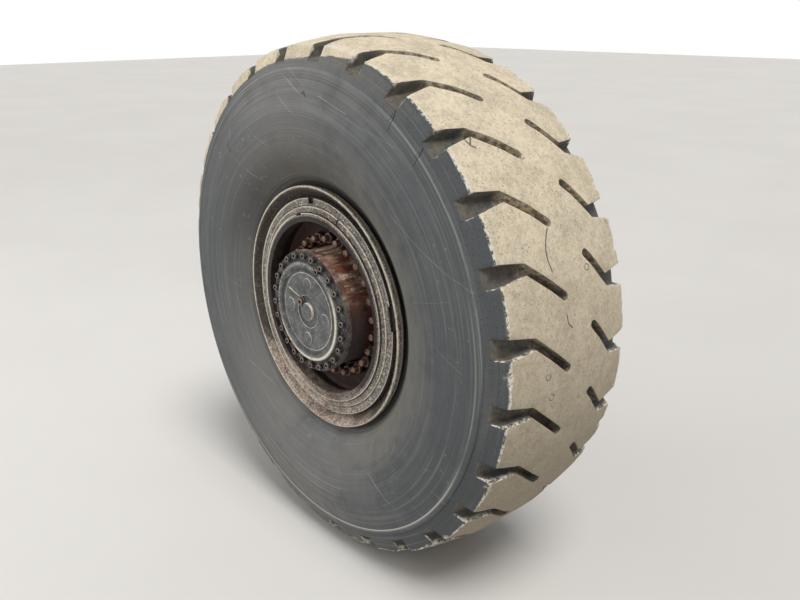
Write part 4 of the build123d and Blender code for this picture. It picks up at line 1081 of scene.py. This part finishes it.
def nut_shape():
    """Chamfered hexagon nut, r = min(hexagon, cone), on a washer face, with a threaded, domed stud end;
    then for each row how rubbed and how dirty it is."""
    a = circle(24)
    z = np.array([0, 0.2, 2.0, 2.2, 4.0, 14.0, 23.0, 24.0, 25.0, 26.0, 26.8, 27.0])
    cone = np.array([17.5, 17.5, 17.5, 16.5, 30, 30, 18.6, 18.2, 17.4, 16.2, 15.0, 14.2])
    body = np.minimum(np.where(z[:, None] < 2.1, 99, polygon_radius(a, 16.0, 6)), cone[:, None])
    nut = lathe(np.r_[0, z, 27.0], np.vstack([0 * a, body, 0 * a + 10.0]), a)
    rise, dome = np.arange(26.0, 41.2, 0.85), np.linspace(0, pi / 2, 6)
    stud_z = np.r_[rise, 41.4 + 4.4 * np.sin(dome)]
    stud_r = np.r_[10.4 + 0.55 * np.cos(2 * pi * rise / 2.55), 10.2 * np.cos(dome)]
    whole = np.concatenate([nut, lathe(stud_z, stud_r[:, None], a)])
    rubbed = np.r_[0, (z > 22) * 0.6, 0.3, np.full(len(rise), 0.35), np.ones(len(dome))]
    return whole, rubbed, np.zeros(len(whole))


def screw_shape(height, socket, socket_depth, radius):
    """Socket head: chamfered round head with a hexagon socket and a coned bottom; then for each row how
    rubbed and how dirty it is."""
    a = circle(24)
    hexagon = polygon_radius(a, socket / 2, 6)
    bottom = height - socket_depth
    rows = [(0, 0 * a), (0, radius), (height - 1.2, radius), (height - 0.4, radius - 0.35),
            (height, radius - 1.3), (height, hexagon + 0.7), (height - 0.6, hexagon), (bottom, hexagon),
            (bottom - 1.5, 0 * a)]
    rows_r = np.vstack([r + 0 * a for _, r in rows])
    rubbed, sunk = np.array([0, 0, 0.5, 1, 1, 0.8, 0.2, 0, 0]), np.array([0, 0, 0, 0, 0, 0, 0.6, 1, 1])
    return lathe([z for z, _ in rows], rows_r, a), rubbed, sunk


def copies(name, node, shape, places, reach, finish, seed):
    """One mesh of many like fasteners; each is turned about its own axis by a seeded angle."""
    local, rubbed, sunk = shape
    rng = np.random.default_rng(seed)
    grids = []
    for radius, angle in places:
        spin = rng.uniform(0, 2 * pi)
        turn = np.array([[cos(spin), sin(spin), 0], [-sin(spin), cos(spin), 0], [0, 0, 1]])
        grids.append((on_face(local @ turn, radius, angle, reach), SPUN))
    marks = {mark: np.tile(np.repeat(rows, local.shape[1]), len(places))
             for mark, rows in (("rubbed", rubbed), ("sunk", sunk))}
    make_piece(name, node, grids, finish, marks, 28)


class HUB_OT_fasteners(bpy.types.Operator):
    """Wheel nuts with their studs, cover screws and filler plug"""
    bl_idname = "wheel_end.fasteners"
    bl_label = "Nuts, screws and plug"

    def execute(self, context):
        studs = [(STUD_RADIUS, FIRST_STUD - 360 / STUDS * k) for k in range(STUDS)]
        screws = [(SCREW_RADIUS, FIRST_SCREW - 360 / SCREWS * k) for k in range(SCREWS)] + [ODD_SCREW]
        copies("wheel_nuts_threaded", "wheel_nuts", nut_shape(), studs, DISC_FACE,
               material("rusty_wheel_nuts", fastener_finish, "maroon", "tips", 0.35), 4)
        copies("cover_screws_socketed", "cover_screws", screw_shape(12, 9.6, 7, 9.0), screws, HUB_FACE,
               material("oily_cover_screws", fastener_finish, "oil", "steel", 0.6), 8)
        copies("oil_plug_socketed", "oil_plug", screw_shape(7, 10, 4.5, 12.0), [OIL_PLUG], HUB_FACE + 6,
               material("rusty_oil_plug", fastener_finish, "rust", "steel", 0.4), 3)
        return {"FINISHED"}


# Hub

class HUB_OT_drum(bpy.types.Operator):
    """Hub drum with the carrier flange"""
    bl_idname = "wheel_end.drum"
    bl_label = "Hub drum"

    def execute(self, context):
        face, front = HUB_FACE, DISC_FACE - 20
        section = [(front, 127, 1), (front, 184, 1), (DISC_FACE + 10, 184, 1), (DISC_FACE + 14, 182.5, 2),
                   (face - 26, 182.5, 2), (face - 22, 184, 1.5), (face - 22, 189, 1.5),
                   (face - 12.2, 189, 0.6), (face - 11.6, 188.2, 0.3), (face - 11, 188.2, 0.3),
                   (face - 10.4, 189, 0.6), (face, 189, 2), (face, 0.001, 0), (face - 66, 0.001, 0),
                   (face - 66, 127, 1)]
        make_piece("hub_drum_turned", "hub_drum", [(turned(rounded(section), circle(216)), HOOP)],
                   material("rusty_drum_casting", drum_finish))
        return {"FINISHED"}


# The reach of the cover, its bosses and the plug's pad runs from the hub's face.
COVER = [(0.1, 0.001, 0), (9, 0.001, 0), (9, 27, 1.6), (1, 27.8, 1.5), (1, 48.5, 1.5), (5, 51, 1.2),
         (5, 117, 2), (5.6, 121.5, 0.8), (4.6, 123.5, 1), (5, 128, 3), (12, 146, 5), (12, 152, 3),
         (9, 156, 2.5), (0, 157, 1.2), (-2, 157, 0), (-2, 0.001, 0)]
COVER_RADIUS, COVER_FLAT, SCALLOP_RADIUS = 157, 126, 13
BOSS = [(4, 0.001, 0), (8, 0.001, 0), (8, 18.6, 2.2), (4.6, 20.6, 1.6), (4, 22, 0)]
PLUG_PAD = [(4, 0.001, 0), (6, 0.001, 0), (6, 15.6, 0.8), (4.6, 16.6, 0.8), (4, 17, 0)]


class HUB_OT_cover(bpy.types.Operator):
    """Hub cover with bosses, well, nose and level mark"""
    bl_idname = "wheel_end.cover"
    bl_label = "Hub cover"

    def execute(self, context):
        grids = [(self.body(), HOOP)]
        for corners, spots in ((BOSS, BOSSES), (PLUG_PAD, [OIL_PLUG])):
            section = rounded(corners)
            local = lathe(section[:, 0], section[:, 1:], circle(48))
            grids += [(on_face(local, *spot, HUB_FACE), SPUN) for spot in spots]
        grids.append((self.mark(), BAR))
        finish = material("oily_cover_casting", cover_finish)
        make_piece("hub_cover_cast", "hub_cover", grids, finish, crease=45)
        return {"FINISHED"}

    def body(self):
        """Turned cover whose rim gives way to the odd screw: R(a) = d cos a - sqrt(s^2 - (d sin a)^2), with
        d the screw's distance from the axis and s the scallop's radius. The part outside the flat is
        squeezed to fit."""
        section = rounded(COVER, 5) + [HUB_FACE, 0]
        angles = circle(288)
        away, middle = ODD_SCREW
        off = turn_between(angles, radians(middle))
        inside = (np.abs(np.sin(off)) < SCALLOP_RADIUS / away) & (np.abs(off) < 0.5)
        chord = np.sqrt(np.clip(SCALLOP_RADIUS ** 2 - (away * np.sin(off)) ** 2, 0, None))
        limit = np.minimum(COVER_RADIUS, np.where(inside, away * np.cos(off) - chord, COVER_RADIUS))
        share = np.maximum(section[:, 1:] - COVER_FLAT, 0) / (COVER_RADIUS - COVER_FLAT)
        radius = np.where(share > 0, COVER_FLAT + share * (limit - COVER_FLAT), section[:, 1:])
        return ring_points(section[:, :1], radius, angles[None, :])

    def mark(self):
        """Rounded bar between two places on the face: section w cos a, h sin a carried from end to end."""
        ends = np.array([polar(*end) for end in LEVEL_MARK])
        along = ends[1] - ends[0]
        long = np.linalg.norm(along)
        along, across = along / long, np.array([-along[1], along[0]]) / long
        t = np.r_[0, 1.5, np.linspace(4, long - 4, 12), long - 1.5, long][:, None]
        slim = np.interp(t, [0, 3, long - 3, long], [0.35, 1, 1, 0.35])
        a = circle(12)
        w, h = 2.2 * np.cos(a) * slim, 5 + 2.0 * np.sin(a) * slim
        x = ends[0, 0] + along[0] * t + across[0] * w
        z = ends[0, 1] + along[1] * t + across[1] * w
        return np.stack([x, -(WHEEL_PLANE + HUB_FACE + h), z], -1)


VALVE_FOOT = [(0, 0.001, 0), (0, 9, 0.8), (10, 9, 0.8), (10.5, 7, 0.5), (24, 7, 1), (28, 5.8, 1.5),
              (29.5, 0.001, 0)]
VALVE_ANGLE, VALVE_REACH = 10.75, 168.5


class HUB_OT_valve(bpy.types.Operator):
    """Air valve on the barrel"""
    bl_idname = "wheel_end.valve"
    bl_label = "Air valve"

    def execute(self, context):
        a = circle(24)
        out, side, axis = directions(VALVE_ANGLE)
        foot = rounded(VALVE_FOOT, 3)
        foot = carried(lathe(foot[:, 0], foot[:, 1:], a), out * 283.7 + axis * (WHEEL_PLANE + VALVE_REACH),
                       axis, side, -out)
        ribs = np.arange(14, 30, 0.7)
        stem_z = np.r_[0, 0, 10, 11, 13, ribs, 31, 33, 34, 34]
        thread = 5.2 + 0.35 * np.cos(2 * pi * ribs / 1.4)
        stem_r = np.r_[0.001, 5.4, 5.4, 6.0, 4.3, thread, 5.6, 5.6, 4.6, 0.001]
        stem = carried(lathe(stem_z, stem_r[:, None], a), out * 261.7 + axis * (WHEEL_PLANE + VALVE_REACH),
                       out, side, axis)
        make_piece("valve_stem_bent", "valve_stem", [(foot, SPUN), (stem, SPUN)],
                   material("dull_valve_brass", machined_finish, "steel", 0.5), crease=35)
        return {"FINISHED"}


# (Y, radius, fillet) of the brake housing.
BRAKE = [(-241, 140.3, 1), (-241, 222, 4), (-211, 222, 3), (-211, 232, 2), (-199, 232, 0.5),
         (-198.4, 231, 0.3), (-197.6, 231, 0.3), (-197, 232, 0.5), (-185, 232, 2), (-185, 222, 3),
         (-105, 222, 10), (-65, 196, 10), (-65, 140.3, 1)]


class HUB_OT_inboard(bpy.types.Operator):
    """Hub, axle spindle, bearings and brake housing"""
    bl_idname = "wheel_end.inboard"
    bl_label = "Hub, spindle and brake"

    def execute(self, context):
        for node, name, coats, *values in (
                ("brake_ports", "brake_port_steel", machined_finish, "steel", 0.5),
                ("hub", "painted_hub_casting", rust_finish, "maroon", "dark_rust", "steel", 0.4, 0.6),
                ("axle_spindle", "forged_spindle_steel", machined_finish, "steel", 0.5),
                ("inner_bearing", "bearing_steel", machined_finish, "bright", 0.3),
                ("outer_bearing", "bearing_steel", machined_finish, "bright", 0.3)):
            for piece in self.packed(node):
                piece.data.materials.clear()
                piece.data.materials.append(material(name, coats, *values))
        section = rounded([(-y - WHEEL_PLANE, radius, fillet) for y, radius, fillet in BRAKE], 5)
        finish = material("painted_brake_casting", rust_finish, "cover", "dark_rust", "steel", 0.5, 0.5)
        make_piece("brake_housing_cast", "brake_housing", [(turned(section, circle(192)), HOOP)], finish,
                   body="axle")
        return {"FINISHED"}

    def packed(self, node):
        """The CAD object or objects of one node."""
        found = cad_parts[node]
        return found if isinstance(found, (list, tuple)) else [found]


# Stage

CAMERA_PLACE = (1.9527, -1.8458, 0.8554)
CAMERA_YAW, CAMERA_PITCH, CAMERA_ROLL = 49.26, -19.33, -0.26
FOCAL_PIXELS, PICTURE_PIXELS, SENSOR_WIDTH = 816.1, 800.0, 36.0


class STAGE_OT_studio(bpy.types.Operator):
    """Pale floor, soft lamps and the camera"""
    bl_idname = "wheel_end.studio"
    bl_label = "Studio"

    def execute(self, context):
        self.floor()
        self.world()
        self.lamps()
        self.camera()
        return {"FINISHED"}

    def floor(self):
        """Level grid of 60 m half a millimetre under the wheel."""
        steps = np.linspace(-30, 30, 13)
        x, y = np.meshgrid(steps, steps, indexing="ij")
        points = np.stack([x, y, np.full_like(x, float(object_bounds()[0][2]) - 0.0005)], -1).reshape(-1, 3)
        mesh = bpy.data.meshes.new("studio_floor")
        mesh.from_pydata(points, [], grid_quads(13, 13, False, False)[:, ::-1].tolist())
        floor = bpy.data.objects.new("studio_floor", mesh)
        bpy.context.scene.collection.objects.link(floor)
        mesh.materials.append(material("pale_studio_floor", floor_finish))
        floor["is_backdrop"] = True

    def world(self):
        """Soft white light from all round; camera, glossy and transmission rays see plain white."""
        world = bpy.data.worlds.new("studio")
        bpy.context.scene.world = world
        world.use_nodes = True
        nodes, links = world.node_tree.nodes, world.node_tree.links
        light, white = nodes["Background"], nodes.new("ShaderNodeBackground")
        for background, strength in ((light, 0.38), (white, 1.0)):
            background.inputs["Color"].default_value = (1, 1, 1, 1)
            background.inputs["Strength"].default_value = strength
        ray, mix = nodes.new("ShaderNodeLightPath"), nodes.new("ShaderNodeMixShader")
        seen = ray.outputs["Is Camera Ray"]
        for kind in ("Is Glossy Ray", "Is Transmission Ray"):
            most = nodes.new("ShaderNodeMath")
            most.operation = "MAXIMUM"
            links.new(seen, most.inputs[0])
            links.new(ray.outputs[kind], most.inputs[1])
            seen = most.outputs[0]
        for output, socket in zip((seen, light.outputs[0], white.outputs[0]), mix.inputs):
            links.new(output, socket)
        links.new(mix.outputs[0], nodes["World Output"].inputs["Surface"])

    def lamps(self):
        """A soft key light from above and a large fill, both turned to the wheel's middle."""
        for name, kind, spot, settings in (
                ("key", "SUN", (2.1, -1.0, 4.8),
                 {"energy": 2.35, "angle": radians(26), "color": (1.0, 0.97, 0.93)}),
                ("fill", "AREA", (-2.5, -4.5, 2.5), {"energy": 80.0, "size": 4.0})):
            lamp = bpy.data.lights.new(name, kind)
            for key, value in settings.items():
                setattr(lamp, key, value)
            holder = bpy.data.objects.new(name, lamp)
            holder.location = spot
            holder.rotation_mode = "QUATERNION"
            holder.rotation_quaternion = (Vector((0, -0.3, 0)) - Vector(spot)).to_track_quat("-Z", "Y")
            bpy.context.scene.collection.objects.link(holder)

    def camera(self):
        """Camera matrix from yaw, pitch and roll: looks along d, with right r and up u."""
        yaw, pitch, roll = (radians(v) for v in (CAMERA_YAW, CAMERA_PITCH, CAMERA_ROLL))
        d = Vector((-sin(yaw) * cos(pitch), cos(yaw) * cos(pitch), sin(pitch)))
        r = Vector((cos(yaw), sin(yaw), 0))
        u = r.cross(d)
        right, up = cos(roll) * r + sin(roll) * u, -sin(roll) * r + cos(roll) * u
        data = bpy.data.cameras.new("photo_view")
        data.sensor_width, data.lens = SENSOR_WIDTH, SENSOR_WIDTH * FOCAL_PIXELS / PICTURE_PIXELS
        data.clip_end = 100
        camera = bpy.data.objects.new("photo_view", data)
        camera.matrix_world = Matrix.Translation(CAMERA_PLACE) @ Matrix((right, up, -d)).transposed().to_4x4()
        bpy.context.scene.collection.objects.link(camera)
        bpy.context.scene.camera = camera
        bpy.context.scene.view_settings.view_transform = "Standard"


class WHEEL_PT_panel(bpy.types.Panel):
    """Lists the wheel end's sizes, colours and pieces"""
    bl_label = "Wheel end"
    bl_idname = "WHEEL_PT_panel"
    bl_space_type = "VIEW_3D"
    bl_region_type = "UI"
    bl_category = "Wheel end"

    def draw(self, context):
        for group in (context.scene.wheel_sizes, context.scene.wheel_colours):
            for key in group.__annotations__:
                self.layout.prop(group, key)
        for operator in PIECES:
            self.layout.operator(operator.bl_idname)


PIECES = (TYRE_OT_tread, TYRE_OT_casing, RIM_OT_flanges, RIM_OT_base, RIM_OT_band, RIM_OT_lock_ring,
          RIM_OT_disc, HUB_OT_drum, HUB_OT_cover, HUB_OT_fasteners, HUB_OT_valve, HUB_OT_inboard,
          STAGE_OT_studio)
CLASSES = (WheelSizes, WheelColours) + PIECES + (WHEEL_PT_panel,)


def register():
    for item in CLASSES:
        bpy.utils.register_class(item)
    bpy.types.Scene.wheel_sizes = bpy.props.PointerProperty(type=WheelSizes)
    bpy.types.Scene.wheel_colours = bpy.props.PointerProperty(type=WheelColours)


def unregister():
    del bpy.types.Scene.wheel_colours
    del bpy.types.Scene.wheel_sizes
    for item in reversed(CLASSES):
        bpy.utils.unregister_class(item)


def main():
    register()
    for operator in PIECES:
        group, call = operator.bl_idname.split(".")
        getattr(getattr(bpy.ops, group), call)()


if __name__ == "__main__":
    main()
